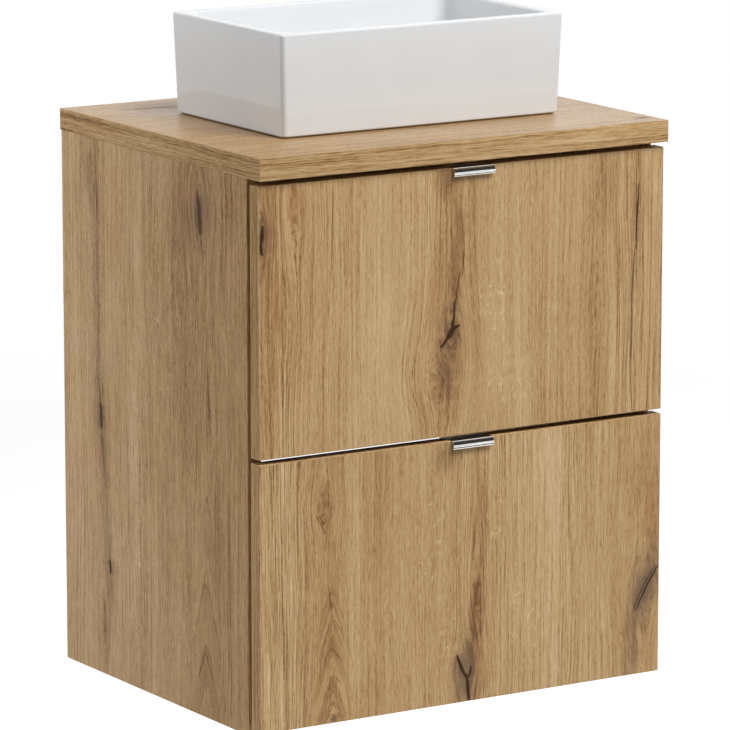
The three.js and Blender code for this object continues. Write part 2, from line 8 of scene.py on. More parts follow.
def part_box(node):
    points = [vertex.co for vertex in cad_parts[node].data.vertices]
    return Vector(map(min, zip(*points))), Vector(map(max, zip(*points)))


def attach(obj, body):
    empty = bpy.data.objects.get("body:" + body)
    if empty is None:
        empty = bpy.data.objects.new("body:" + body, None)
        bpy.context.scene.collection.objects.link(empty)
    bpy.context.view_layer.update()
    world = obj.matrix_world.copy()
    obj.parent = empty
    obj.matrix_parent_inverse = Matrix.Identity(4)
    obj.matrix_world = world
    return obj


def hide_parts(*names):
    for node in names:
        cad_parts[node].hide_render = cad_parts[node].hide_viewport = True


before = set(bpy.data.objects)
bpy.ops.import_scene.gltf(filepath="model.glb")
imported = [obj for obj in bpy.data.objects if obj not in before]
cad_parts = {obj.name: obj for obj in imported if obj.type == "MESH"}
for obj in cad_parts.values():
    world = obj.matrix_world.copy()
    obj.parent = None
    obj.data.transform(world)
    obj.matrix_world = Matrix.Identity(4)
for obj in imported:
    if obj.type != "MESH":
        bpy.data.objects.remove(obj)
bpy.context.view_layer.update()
mm = 0.001
quarter = math.pi / 2


def srgb(red, green, blue):
    # 0 to 255 values as a linear colour
    def linear(value):
        value /= 255
        return value / 12.92 if value < 0.04045 else ((value + 0.055) / 1.055) ** 2.4
    return (linear(red), linear(green), linear(blue), 1)


def feed(socket, value):
    # a socket is linked, anything else becomes the default value
    if isinstance(value, bpy.types.NodeSocket):
        socket.id_data.links.new(value, socket)
    else:
        socket.default_value = value


def feedAll(sockets, values):
    for socket, value in zip(sockets, values):
        feed(socket, value)


def feedNamed(sockets, **values):
    # keyword names are the socket names without their spaces; names that no socket has are passed over
    for socket in sockets:
        label = socket.name.replace(" ", "")
        if label in values:
            feed(socket, values[label])


def nodeBeside(kind, *values):
    # a new node in the tree of the first socket among the values
    tree = next(v.id_data for v in values if isinstance(v, bpy.types.NodeSocket))
    return tree.nodes.new(kind)


def calc(operation, *values):
    node = nodeBeside("ShaderNodeMath", *values)
    node.operation = operation
    feedAll(node.inputs, values)
    return node.outputs[0]


plus, minus = partial(calc, "ADD"), partial(calc, "SUBTRACT")
times, over = partial(calc, "MULTIPLY"), partial(calc, "DIVIDE")
timesPlus, largest = partial(calc, "MULTIPLY_ADD"), partial(calc, "MAXIMUM")
absolute = partial(calc, "ABSOLUTE")


def total(*terms):
    result = terms[0]
    for term in terms[1:]:
        result = plus(result, term)
    return result


def squared(value):
    return times(value, value)


def hypotenuse(a, b):
    return calc("SQRT", plus(squared(a), squared(b)))


def fade(value, rate=-1.0):
    return calc("EXPONENT", times(value, rate))


def swing(value, amount):
    # amount times how far a 0 to 1 value lies from its middle
    return times(minus(value, 0.5), amount)


def ramp(value, low, high, outLow=0.0, outHigh=1.0, kind="SMOOTHSTEP"):
    node = nodeBeside("ShaderNodeMapRange", value)
    node.interpolation_type = kind
    feedAll(node.inputs, (value, low, high, outLow, outHigh))
    return node.outputs[0]


def point(x, y, z):
    node = nodeBeside("ShaderNodeCombineXYZ", x, y, z)
    feedAll(node.inputs, (x, y, z))
    return node.outputs[0]


def split(place):
    node = nodeBeside("ShaderNodeSeparateXYZ", place)
    feed(node.inputs[0], place)
    return node.outputs


def vector(operation, a, b):
    node = nodeBeside("ShaderNodeVectorMath", a, b)
    node.operation = operation
    feedAll(node.inputs, (a, b))
    return node.outputs[0]


def noise(place, scale=1.0, detail=1.0, distortion=0.0):
    node = nodeBeside("ShaderNodeTexNoise", place)
    feedNamed(node.inputs, Vector=place, Scale=scale, Detail=detail, Distortion=distortion)
    return node.outputs["Fac"]


def grainNoise(across, depth, along, width, length, detail=1.0, distortion=0.0):
    # noise whose cells are width across the grain and length along it
    return noise(point(over(across, width), depth, over(along, length)), detail=detail,
                 distortion=distortion)


def blend(share, a, b, kind="RGBA"):
    node = nodeBeside("ShaderNodeMix", share, a, b)
    node.data_type = kind
    first, result = (6, 2) if kind == "RGBA" else (2, 0)
    feedAll((node.inputs[0], *node.inputs[first:first + 2]), (share, a, b))
    return node.outputs[result]


def colourRamp(value, stops):
    node = nodeBeside("ShaderNodeValToRGB", value)
    feed(node.inputs[0], value)
    bar = node.color_ramp
    while len(bar.elements) < len(stops):
        bar.elements.new(0.5)
    for element, (place, colour) in zip(bar.elements, stops):
        element.position = place
        element.color = colour
    return node.outputs["Color"]


def bump(height, strength, distance):
    node = nodeBeside("ShaderNodeBump", height)
    feedNamed(node.inputs, Strength=strength, Distance=distance, Height=height)
    return node.outputs["Normal"]


def objectPlace(tree):
    # object coordinates in millimetres
    node = tree.nodes.new("ShaderNodeTexCoord")
    return vector("MULTIPLY", node.outputs["Object"], (1000, 1000, 1000))


def newTree(name, kind, inputs, outputs):
    # inputs: label and first value; outputs: label and socket kind; returns the tree's own sockets
    tree = bpy.data.node_groups.new(name, kind)
    kinds = {int: "Int", float: "Float", tuple: "Vector", type(None): "Material"}
    for label, value in inputs.items():
        socketKind = value if isinstance(value, str) else kinds[type(value)]
        socket = tree.interface.new_socket(label, in_out="INPUT", socket_type=f"NodeSocket{socketKind}")
        if isinstance(value, (int, float, tuple)):
            socket.default_value = value
    for label, socketKind in outputs.items():
        tree.interface.new_socket(label, in_out="OUTPUT", socket_type=f"NodeSocket{socketKind}")
    return tree.nodes.new("NodeGroupInput").outputs, tree.nodes.new("NodeGroupOutput").inputs


def shaderGroup(name, outputs, **inputs):
    # outputs are named in one string; Color is a colour and the others are numbers
    kinds = {label: "Color" if label == "Color" else "Float" for label in outputs.split()}
    return newTree(name, "ShaderNodeTree", inputs, kinds)


def closeGroup(ends, **values):
    # feeds the group's outputs and gives back its tree
    feedNamed(ends, **values)
    return ends[0].id_data


def useGroup(group, **values):
    node = nodeBeside("ShaderNodeGroup", *values.values())
    node.node_tree = groups[group]
    feedNamed(node.inputs, **values)
    return node.outputs


def newMaterial(name, **settings):
    material = bpy.data.materials.new(name)
    material.use_nodes = True
    shader = material.node_tree.nodes["Principled BSDF"].inputs
    feedNamed(shader, **settings)
    return material, objectPlace(material.node_tree), shader


print("helpers ready")


grainLayers = {
    # cell width and length in mm, detail, how far it swings the tone
    "broad": (62.0, 700.0, 0.0, 0.16),
    "wide": (22.0, 600.0, 1.0, 0.29),
    "clouds": (36.0, 110.0, 2.0, 0.26),
    "strand": (5.0, 210.0, 1.0, 0.22),
    "fibre": (1.0, 13.0, 1.0, 0.70),
}
grainShape = {
    "seedStep": 137.0, "wave": (60.0, 300.0), "ripple": (9.0, 42.0), "rippleSwing": 3.2, "middle": 0.54,
    "lineLength": 420.0, "fineShare": 0.46, "fineLength": 70.0, "pore": (0.8, 5.0), "poreEdge": 0.09,
}


def makeOakGrain():
    # straight grain: fibres, growth lines, wide bands and pores; the board's length runs along Along
    i, ends = shaderGroup("oakGrain", "Tone Pores Bands Fibre", Across=0.0, Depth=0.0, Along=0.0, Seed=0.0,
                          Spacing=2.0, Wander=3.0, Lined=0.4)
    g = grainShape
    seed = times(i["Seed"], g["seedStep"])
    along, depth = plus(i["Along"], seed), plus(i["Depth"], seed)
    wave = swing(grainNoise(i["Across"], i["Seed"], along, *g["wave"]), i["Wander"])
    ripple = grainNoise(i["Across"], i["Seed"], along, *g["ripple"])
    across = plus(i["Across"], timesPlus(minus(ripple, 0.5), g["rippleSwing"], wave))

    def layer(width, length, detail):
        return grainNoise(across, over(depth, width), along, width, length, detail)

    layers = {name: layer(*values[:3]) for name, values in grainLayers.items()}
    lines = layer(i["Spacing"], g["lineLength"], 1.0)
    fine = layer(times(i["Spacing"], g["fineShare"]), g["fineLength"], 0.0)
    dark, pale = ramp(lines, 0.52, 0.66), ramp(lines, 0.46, 0.34)
    tone = total(
        g["middle"], *[swing(value, grainLayers[name][3]) for name, value in layers.items()],
        swing(fine, timesPlus(i["Lined"], 0.70, 0.12)),
        times(dark, timesPlus(i["Lined"], -0.15, -0.03)), times(pale, timesPlus(i["Lined"], 0.08, 0.02)),
    )
    # pores are short dashes, denser in the dark lines
    least = ramp(lines, 0.40, 0.66, 0.64, 0.52)
    pores = ramp(minus(layer(*g["pore"], 0.0), least), 0.0, g["poreEdge"])
    return closeGroup(ends, Tone=tone, Pores=pores, Bands=layers["wide"], Fibre=layers["fibre"])


def makeGrainEye():
    # lines part around a centre, as they do beside a knot
    i, ends = shaderGroup("grainEye", "Across", Across=0.0, Along=0.0, CentreAcross=0.0, CentreAlong=0.0,
                          HalfWidth=10.0, HalfLength=50.0, Push=5.0)
    across = over(minus(i["Across"], i["CentreAcross"]), i["HalfWidth"])
    along = over(minus(i["Along"], i["CentreAlong"]), i["HalfLength"])
    side = calc("TANH", times(across, 1.6))
    shift = times(times(side, fade(squared(along))), fade(squared(across), -0.16))
    return closeGroup(ends, Across=minus(i["Across"], times(shift, i["Push"])))


def makeGrainArch():
    # nested arches below an apex, where a board is cut through the top of the growth rings
    i, ends = shaderGroup("grainArch", "Lines Mask", Across=0.0, Along=0.0, Centre=0.0, Apex=0.0,
                          Foot=-200.0, HalfWidth=22.0, Slope=0.4, Round=6.0, Spacing=9.0, Seed=0.0, Jag=3.0)
    offset = minus(i["Across"], i["Centre"])
    jag = grainNoise(i["Across"], i["Seed"], i["Along"], 5.0, 16.0, 2.0)
    drop = times(minus(i["Apex"], i["Along"]), i["Slope"])
    wing = hypotenuse(offset, i["Round"])
    ring = total(drop, i["Round"], times(wing, -1.0), swing(jag, i["Jag"]))
    lines = noise(point(over(ring, i["Spacing"]), i["Seed"], 0.0))
    thin = ramp(absolute(minus(lines, 0.5)), 0.06, 0.012)
    # the arches stop at their half width, above the apex and below the foot
    edge = calc("POWER", absolute(over(offset, i["HalfWidth"])), 4.0)
    foot = ramp(i["Along"], minus(i["Foot"], 30.0), plus(i["Foot"], 30.0))
    return closeGroup(ends, Lines=plus(times(thin, 0.7), times(ramp(lines, 0.44, 0.60), 0.4)),
                      Mask=times(times(fade(edge), ramp(ring, -2.0, 2.5)), foot))


crackShape = {
    "uneven": 1.8, "taper": 0.55, "leastWidth": 0.02, "edge": (1.15, 0.25), "haloReach": 4.5,
    "haloEnds": (0.0, 0.35),
}


def makeCrack():
    # a split between two points, widest in the middle, with a stained edge
    i, ends = shaderGroup("woodCrack", "Mask Halo", Across=0.0, Along=0.0, FromAcross=0.0, FromAlong=0.0,
                          ToAcross=0.0, ToAlong=10.0, Width=1.0, Bow=0.0, Uneven=0.5)
    c = crackShape
    sideways, upwards = minus(i["ToAcross"], i["FromAcross"]), minus(i["ToAlong"], i["FromAlong"])
    length = hypotenuse(sideways, upwards)
    sideways, upwards = over(sideways, length), over(upwards, length)
    a, b = minus(i["Across"], i["FromAcross"]), minus(i["Along"], i["FromAlong"])
    run = over(plus(times(a, sideways), times(b, upwards)), length)
    hump = largest(times(times(run, minus(1.0, run)), 4.0), 0.0)
    away = minus(minus(times(a, upwards), times(b, sideways)), times(hump, i["Bow"]))
    away = absolute(plus(away, swing(i["Uneven"], c["uneven"])))
    width = largest(times(i["Width"], calc("POWER", hump, c["taper"])), c["leastWidth"])
    halo = fade(squared(over(away, times(width, c["haloReach"]))))
    return closeGroup(ends, Mask=ramp(over(away, width), *c["edge"]),
                      Halo=times(halo, ramp(hump, *c["haloEnds"])))


def makeSoftPatch():
    # a soft patch, drawn out along the grain, that may lean
    i, ends = shaderGroup("softPatch", "Mask", Across=0.0, Along=0.0, CentreAcross=0.0, CentreAlong=0.0,
                          HalfWidth=10.0, HalfLength=40.0, Lean=0.0, Uneven=0.5)
    along = minus(i["Along"], i["CentreAlong"])
    across = minus(minus(i["Across"], i["CentreAcross"]), times(along, i["Lean"]))
    distance = hypotenuse(over(across, i["HalfWidth"]), over(along, i["HalfLength"]))
    return closeGroup(ends, Mask=ramp(plus(distance, swing(i["Uneven"], 0.9)), 1.15, 0.15))


def makeFlecks():
    # pale curved flecks across the grain
    i, ends = shaderGroup("rayFlecks", "Mask", Across=0.0, Along=0.0, Seed=0.0)
    contour = grainNoise(i["Across"], i["Seed"], i["Along"], 15.0, 19.0, 1.5, 0.4)
    lines = ramp(absolute(minus(contour, 0.5)), 0.028, 0.008)
    gaps = grainNoise(i["Across"], i["Seed"], i["Along"], 7.0, 9.0)
    return closeGroup(ends, Mask=times(lines, ramp(gaps, 0.47, 0.58)))


oakTones = [
    (0.00, srgb(100, 68, 38)),
    (0.22, srgb(148, 113, 70)),
    (0.50, srgb(183, 149, 103)),
    (0.78, srgb(202, 171, 128)),
    (1.00, srgb(214, 187, 146)),
]
oakWarm, oakGrey = srgb(158, 108, 66), srgb(112, 92, 74)


def makeOakTint():
    # tone and stains to colour
    i, ends = shaderGroup("oakTint", "Color", Tone=0.5, Warm=0.0, Grey=0.0)
    colour = blend(i["Warm"], colourRamp(i["Tone"], oakTones), oakWarm)
    return closeGroup(ends, Color=blend(i["Grey"], colour, oakGrey))


def makeMottle():
    # slow drift and fine speckle that every plain finish shares
    i, ends = shaderGroup("surfaceMottle", "Roughness Drift Speckle", Place=(0.0, 0.0, 0.0), Size=20.0,
                          Low=0.3, High=0.4)
    place = vector("DIVIDE", i["Place"], point(i["Size"], i["Size"], i["Size"]))
    drift = noise(place, detail=3.0)
    speckle = noise(place, scale=24.0, detail=2.0)
    wear = plus(times(drift, 0.7), times(speckle, 0.3))
    return closeGroup(ends, Roughness=ramp(wear, 0.3, 0.7, i["Low"], i["High"]), Drift=drift,
                      Speckle=speckle)


groups = {
    "grain": makeOakGrain(),
    "eye": makeGrainEye(),
    "arch": makeGrainArch(),
    "crack": makeCrack(),
    "stain": makeSoftPatch(),
    "flecks": makeFlecks(),
    "tint": makeOakTint(),
    "mottle": makeMottle(),
}
print("shader groups ready:", len(groups))


# A board's across and along are axis numbers; its tables are in millimetres along those axes.
tableColumns = {
    "lined": "Centre Width Strength",
    "eyes": "CentreAcross CentreAlong HalfWidth HalfLength Push",
    "arches": "Centre Apex Foot HalfWidth Slope Round Spacing Strength",
    "cracks": "FromAcross FromAlong ToAcross ToAlong Width Bow Darkness",
    "stains": "CentreAcross CentreAlong HalfWidth HalfLength Darkness Warmth Greyness Lean",
    "flecks": "CentreAcross CentreAlong HalfWidth HalfLength",
}
oakBoards = {}
oakBoards["oakUpperFront"] = {
    "across": 0, "along": 2, "seed": 1, "spacing": 2, "wander": 15, "lift": 0.02, "rough": (0.42, 0.56),
    "shine": 0.35, "contrast": 1,
    "lined": [(-226, 26, 0.7), (-150, 40, 0.35), (-40, 26, 0.5), (218, 36, 0.9), (112, 24, 0.3)],
    "eyes": [
        (-15, -128, 10, 46, 9), (-36, -176, 26, 56, 15), (-246, -12, 6, 34, 8), (-206, 10, 12, 60, 7),
        (160, -120, 20, 90, 6), (-222, -90, 12, 60, 5),
    ],
    "cracks": [
        (-244, 2, -246, -20, 3, -0.5, 1), (-246, -16, -244, -30, 3.2, 1, 1),
        (-242, -7, -245, -18, 2, 0, 0.9), (-160, 41, -163, -64, 1.1, 0, 0.58),
        (-162, -30, -167, -113, 0.9, 0, 0.5), (-8, 0, -2, -35, 0.9, -1, 0.5),
        (-2, -26, -4, -74, 1.8, -1, 0.6), (-5, -64, -13, -110, 2, 1, 0.6),
        (-13, -96, -15, -126, 2.2, 0, 0.8), (-15, -116, -16, -132, 3, 0, 1),
        (-12, -124, -23, -138, 5.2, 0, 1), (-6, -124, -16, -130, 2.6, 1, 1),
        (-20, -132, -31, -146, 2.4, -1, 1), (216, 41, 218, 2, 0.7, 0, 0.5), (218, 8, 214, -66, 1.4, 1, 0.9),
        (214, -56, 209, -130, 0.9, 1, 0.7), (209, -120, 208, -194, 0.8, -1, 0.65),
        (208, -188, 211, -240, 0.8, 0, 0.6), (-43, -94, -62, -146, 0.8, -4, 0.3),
        (-62, -140, -68, -176, 0.9, -2, 0.42), (-68, -174, -52, -216, 0.9, 2, 0.42),
        (-76, -150, -79, -184, 0.8, -2, 0.3), (-79, -182, -64, -214, 0.8, 2, 0.36),
        (-36, -166, -18, -204, 1, -2, 0.36), (-30, -184, -14, -224, 0.9, -2, 0.32),
        (-56, -158, -46, -226, 0.8, 4, 0.32), (6, -104, -11, -204, 0.9, -3, 0.2),
        (-214, 24, -206, -8, 0.8, 3, 0.32), (-222, -70, -212, -116, 0.8, 3, 0.32),
        (-206, -60, -200, -150, 0.7, 2, 0.26),
    ],
    "stains": [
        (-238, -90, 20, 420, 0.13, 0.08), (-202, -60, 16, 300, 0.04, 0.05), (-88, -60, 34, 320, -0.08),
        # the first stain on the next line, below and left of the pull, is a dark wood patch with the pull's
        # shadow painted into it
        (-24, 32, 17, 26, 0.18, 0.1, 0.2), (-14, -70, 13, 190, 0.13, 0.12),
        (-12, -56, 10, 86, 0.17, 0.12, 0.2, 0.1), (-26, -170, 22, 46, 0.14, 0.05, 0.16, 0.12),
        (-34, -200, 24, 60, 0.06, 0.05, 0, 0.1), (-36, -92, 17, 64, 0, 0.26, 0, 0.1),
        (18, -30, 14, 120, 0.06), (80, -80, 46, 330, -0.08), (-243, -8, 10, 50, 0.12, 0.05, 0.3),
        (-206, 20, 14, 30, 0.06, 0.3), (-224, -84, 10, 60, 0.06, 0.35), (164, -130, 16, 260, 0.1, 0.05),
        (176, 10, 14, 70, 0.06, 0.1, 0.1), (228, -90, 18, 260, -0.01, 0.14),
        (-236, -10, 18, 150, 0.13, 0.04), (-54, -20, 24, 200, -0.1), (-128, -160, 44, 140, -0.09),
        (56, -70, 24, 320, -0.07), (112, -150, 34, 190, -0.07), (236, -110, 18, 320, -0.06),
        (-20, -172, 20, 54, 0.11, 0.06, 0.08, 0.1), (-190, -20, 20, 120, 0.04), (-238, 4, 18, 70, 0.12),
        (-80, -50, 30, 90, -0.05), (238, -20, 16, 110, -0.09), (160, 10, 14, 50, 0.05),
        (-18, 20, 14, 44, 0.06), (-16, -124, 15, 40, 0.07, 0, 0.05), (-88, -150, 24, 100, -0.05),
        (-238, -200, 18, 60, 0.05),
    ],
    "flecks": [(36, -100, 26, 70), (-48, -112, 14, 16), (60, -190, 50, 40)],
}
oakBoards["oakLowerFront"] = {
    "across": 0, "along": 2, "seed": 2.6, "spacing": 2, "wander": 13, "lift": 0.02, "rough": (0.42, 0.56),
    "shine": 0.35, "contrast": 1,
    "lined": [(-222, 34, 1.3), (-120, 24, 0.3), (60, 50, 0.5), (150, 50, 0.55), (10, 24, 0.5)],
    "eyes": [
        (-172, -296, 8, 26, 8), (16, -400, 9, 60, 7), (0, -490, 12, 30, 10), (232, -434, 18, 44, 13),
        (240, -350, 14, 44, 8), (-160, -522, 7, 12, 8),
    ],
    "arches": [(-162, -382, -560, 20, 0.34, 3, 12, 0.28)],
    "cracks": [
        (-166, -266, -182, -306, 0.9, -2, 0.5), (-166, -266, -162, -308, 0.9, 2, 0.46),
        (-182, -304, -170, -328, 1.2, -1, 0.5), (-162, -304, -170, -328, 0.9, 1, 0.46),
        (-181, -307, -170, -303, 1.6, 1, 0.48), (-176, -306, -172, -316, 2.2, 0, 0.4),
        (-167, -378, -161, -420, 1.1, 0, 0.6), (-162, -414, -147, -444, 1, -2, 0.58),
        (-163, -414, -176, -460, 0.9, 1, 0.46), (-164, -446, -149, -464, 0.9, -1, 0.52),
        (-164, -446, -172, -466, 0.8, 1, 0.4), (-162, -471, -150, -487, 0.9, 1, 0.54),
        (-158, -504, -170, -524, 1, 1, 0.52), (-158, -504, -151, -526, 1, -1, 0.52),
        (24, -376, 25, -412, 0.9, 1, 0.3), (29, -266, 27, -378, 0.9, 1, 0.34),
        (20, -392, 12, -440, 2.2, 2, 0.42), (13, -430, 8, -474, 1.4, -1, 0.35),
        (-9, -474, 4, -503, 3, 1, 1), (9, -488, 4, -503, 2.2, -1, 0.95), (3, -496, 7, -530, 3.2, 0, 1),
        (249, -408, 218, -458, 1.7, 2, 1), (244, -410, 214, -460, 1.1, 3, 0.85),
        (240, -330, 228, -392, 0.9, -3, 0.3), (228, -384, 248, -402, 0.9, -4, 0.35),
        (176, -470, 175, -522, 0.8, 0, 0.55), (120, -300, 118, -524, 0.6, 0, 0.3),
        (-62, -380, -66, -520, 0.8, 1, 0.25),
    ],
    "stains": [
        (-176, -380, 30, 420, 0.09, 0.05), (-171, -300, 11, 38, 0.12, 0.1, 0.1),
        (-160, -522, 6, 6, 0.35, 0, 0.5), (-106, -400, 22, 320, 0.04, 0.04), (16, -390, 13, 220, 0.12, 0.1),
        (24, -320, 8, 84, 0.1, 0.06, 0.05), (14, -426, 8, 76, 0.13, 0.08, 0.08, 0.1),
        (234, -420, 24, 60, 0.06, 0, 0.15, 0.2), (0, -496, 15, 44, 0.2, 0, 0.4, 0.1),
        (90, -380, 44, 420, -0.1), (226, -436, 22, 56, 0.12, 0, 0.42, 0.25),
        (212, -500, 14, 50, 0.12, 0, 0.3), (240, -350, 16, 60, 0.06, 0.35), (238, -500, 14, 50, 0, 0.3),
        # the first stain on the next line, below and left of the pull, is painted shadow of the pull
        (-24, -262, 20, 22, 0.18, 0.1, 0.2), (-224, -380, 20, 300, -0.03), (122, -360, 34, 420, -0.11),
        (18, -410, 15, 200, 0.1, 0.06), (6, -486, 20, 64, 0.13, 0, 0.1), (-160, -400, 16, 400, 0.06, 0.06),
        (236, -432, 20, 90, 0.12, 0, 0.1, 0.2), (-104, -512, 44, 50, 0.06, 0.03), (16, -450, 14, 90, 0.13),
        (234, -300, 16, 90, 0.08, 0.08), (90, -270, 34, 60, -0.06),
    ],
    "flecks": [(-44, -345, 34, 66), (-22, -460, 16, 40), (76, -440, 34, 70), (40, -330, 20, 50)],
}
oakBoards["oakLeftSide"] = {
    "across": 1, "along": 2, "seed": 4.3, "spacing": 2.6, "wander": 15, "lift": 0, "rough": (0.46, 0.6),
    "shine": 0.4, "contrast": 1,
    "lined": [(-150, 50, 0.35), (-30, 30, 0.3), (-340, 50, 0.5)],
    "eyes": [
        (-81, -256, 11, 46, 7), (-98, -412, 10, 40, 6), (-290, 6, 14, 44, 13), (-240, -80, 30, 120, 9),
        (-310, -200, 14, 70, 6), (-85, -478, 9, 40, 6),
    ],
    "arches": [(-300, -362, -620, 30, 0.3, 8, 15, 0.3), (-302, -276, -340, 16, 0.26, 5, 11, 0.24)],
    "cracks": [
        (-72, 24, -76, -52, 2.4, 2, 0.36), (-76, -60, -74, -200, 2.2, 0, 0.14),
        (-74, -200, -81, -246, 3.2, 0, 0.3), (-80, -236, -82, -266, 4, 0, 0.8),
        (-82, -262, -89, -330, 4.2, 0, 0.28), (-89, -330, -98, -405, 2.4, 0, 0.16),
        (-98, -404, -98, -421, 3.6, 0, 0.8), (-97, -420, -86, -462, 2.2, 1, 0.16),
        (-85, -450, -85, -500, 4.6, 0, 0.36), (-286, 42, -288, 8, 2.4, 0, 0.4),
        (-287, 18, -292, -26, 7, 1, 0.72), (-282, 6, -287, -34, 3, -1, 0.5),
        (-292, -20, -296, -50, 2.2, 0, 0.36), (-305, -160, -310, -232, 2, 0, 0.5),
        (-281, -222, -280, -304, 2, 1, 0.5), (-280, -300, -273, -330, 1.6, 0, 0.35),
        (-301, -372, -290, -402, 1.6, 1, 0.4), (-301, -372, -312, -408, 1.6, -1, 0.3),
        (-297, -458, -280, -496, 1.8, 2, 0.45), (-297, -458, -316, -492, 1.8, -2, 0.45),
    ],
    "stains": [
        (-74, -130, 15, 260, 0.12, 0, 0.05), (-60, 6, 14, 50, 0.16, 0, 0.15, 0.2),
        (-84, -270, 13, 90, 0.14, 0, 0.35, 0.06), (-94, -390, 14, 110, 0.12, 0, 0.2, 0.1),
        (-86, -480, 12, 50, 0.12, 0.15, 0.25), (-112, -20, 14, 120, -0.02, 0.22),
        (-154, -220, 26, 360, -0.14), (-250, -20, 44, 120, 0.14, 0.08, 0.06),
        (-292, 0, 20, 70, 0.12, 0, 0.25), (-289, -6, 9, 34, 0.12, 0, 0.3, 0.1),
        (-262, -170, 44, 170, 0.12, 0.1), (-330, -330, 50, 360, 0.08, 0.08), (-26, -250, 26, 400, -0.06),
        (-356, -100, 20, 300, -0.04), (-336, 14, 30, 80, 0.11, 0.04), (-66, 0, 16, 70, 0.05),
        (-284, 0, 70, 110, 0.08, 0.12), (-324, -60, 24, 120, 0.07, 0.06),
    ],
    "flecks": [(-212, -170, 24, 110), (-170, -380, 34, 70), (-330, -10, 20, 40), (-200, -60, 20, 120)],
}
oakBoards["oakRightSide"] = {
    "across": 1, "along": 2, "seed": 6.1, "spacing": 2.2, "wander": 15, "lift": 0, "rough": (0.46, 0.6),
    "shine": 0.25, "contrast": 1,
    "lined": [(-60, 40, 0.7), (-330, 50, 0.5)],
    "eyes": [(-120, -330, 14, 60, 12), (-300, -120, 16, 70, 10), (-210, -470, 20, 60, 8)],
    "arches": [(-210, -60, -420, 28, 0.34, 9, 12, 0.26)],
    "cracks": [
        (-118, -314, -122, -344, 3.4, 1, 0.95), (-298, -96, -302, -136, 2.4, -1, 0.85),
        (-302, -130, -306, -240, 1.4, 1, 0.5), (-60, 20, -64, -190, 1, 0, 0.45),
        (-208, -440, -214, -500, 1.4, 2, 0.5),
    ],
    "stains": [
        (-120, -330, 18, 80, 0.16, 0.1, 0.3), (-300, -150, 22, 120, 0.12, 0.2, 0.1),
        (-60, -200, 26, 240, -0.06), (-250, -400, 34, 120, 0.08, 0.1, 0.05),
    ],
    "flecks": [(-160, -160, 40, 90)],
}
oakBoards["oakTop"] = {
    # the top's tone is lifted down by 0.1: painted shade that offsets the stronger light its face gets from
    # above
    "across": 1, "along": 0, "seed": 8.2, "spacing": 2, "wander": 13, "lift": -0.1, "rough": (0.27, 0.35),
    "shine": 0.68, "contrast": 0.7,
    "lined": [(-380, 40, 0.6), (-60, 40, 0.5)],
    "eyes": [(-392, 60, 8, 46, 6), (-60, -150, 14, 70, 9)],
    "cracks": [(-52, -190, -56, -130, 1.6, 1, 0.6), (-384, 225, -387, 246, 2, 0, 0.9)],
    "stains": [
        (-52, -160, 12, 60, 0.1, 0.1, 0.2), (-300, -210, 30, 60, 0, 0.1), (-366, 60, 26, 200, -0.05),
    ],
    "flecks": [(-350, 0, 30, 90)],
}
oakBoards["oakCarcass"] = {
    "across": 2, "along": 0, "seed": 9.7, "spacing": 2, "wander": 4, "lift": -0.02, "rough": (0.44, 0.58),
    "shine": 0.3, "contrast": 1,
    "lined": [(0, 60, 0.6)],
}
oakBoards["oakCarcassDepth"] = {
    "across": 1, "along": 0, "seed": 10.9, "spacing": 2, "wander": 4, "lift": -0.02, "rough": (0.44, 0.58),
    "shine": 0.3, "contrast": 1,
    "lined": [(-120, 90, 0.6)],
    "eyes": [(-180, -60, 14, 70, 8)],
    "cracks": [(-178, -40, -182, -90, 1.4, 1, 0.7)],
    "stains": [(-180, -70, 16, 80, 0.1, 0.1, 0.2)],
}

oakFinish = {
    "bump": 0.22, "bumpDepth": 0.0003, "crackColour": srgb(60, 39, 20), "evenLines": 0.25, "mottle": 60.0,
    "pores": -0.15, "flecks": 0.32, "bandWarmth": 0.08, "wobble": (8.0, 10.0, 2.0),
    "ragged": (5.0, 34.0, 1.5), "haloFrom": 0.6, "halos": -0.25, "splits": -0.5, "splitFill": (0.45, 0.85),
}


def rowsOf(board, table):
    # rows as named values; columns left off at the end of a row are 0
    names = tableColumns[table].split()
    return [dict(zip(names, row + (0,) * len(names))) for row in board.get(table, [])]


def boardAxes(place, board):
    # the place across the grain, along it and through the board
    axes = split(place)
    through = ({0, 1, 2} - {board["across"], board["along"]}).pop()
    return axes[board["across"]], axes[board["along"]], axes[through]


def mottled(place, size, roughness):
    return useGroup("mottle", Place=place, Size=size, Low=roughness[0], High=roughness[1])


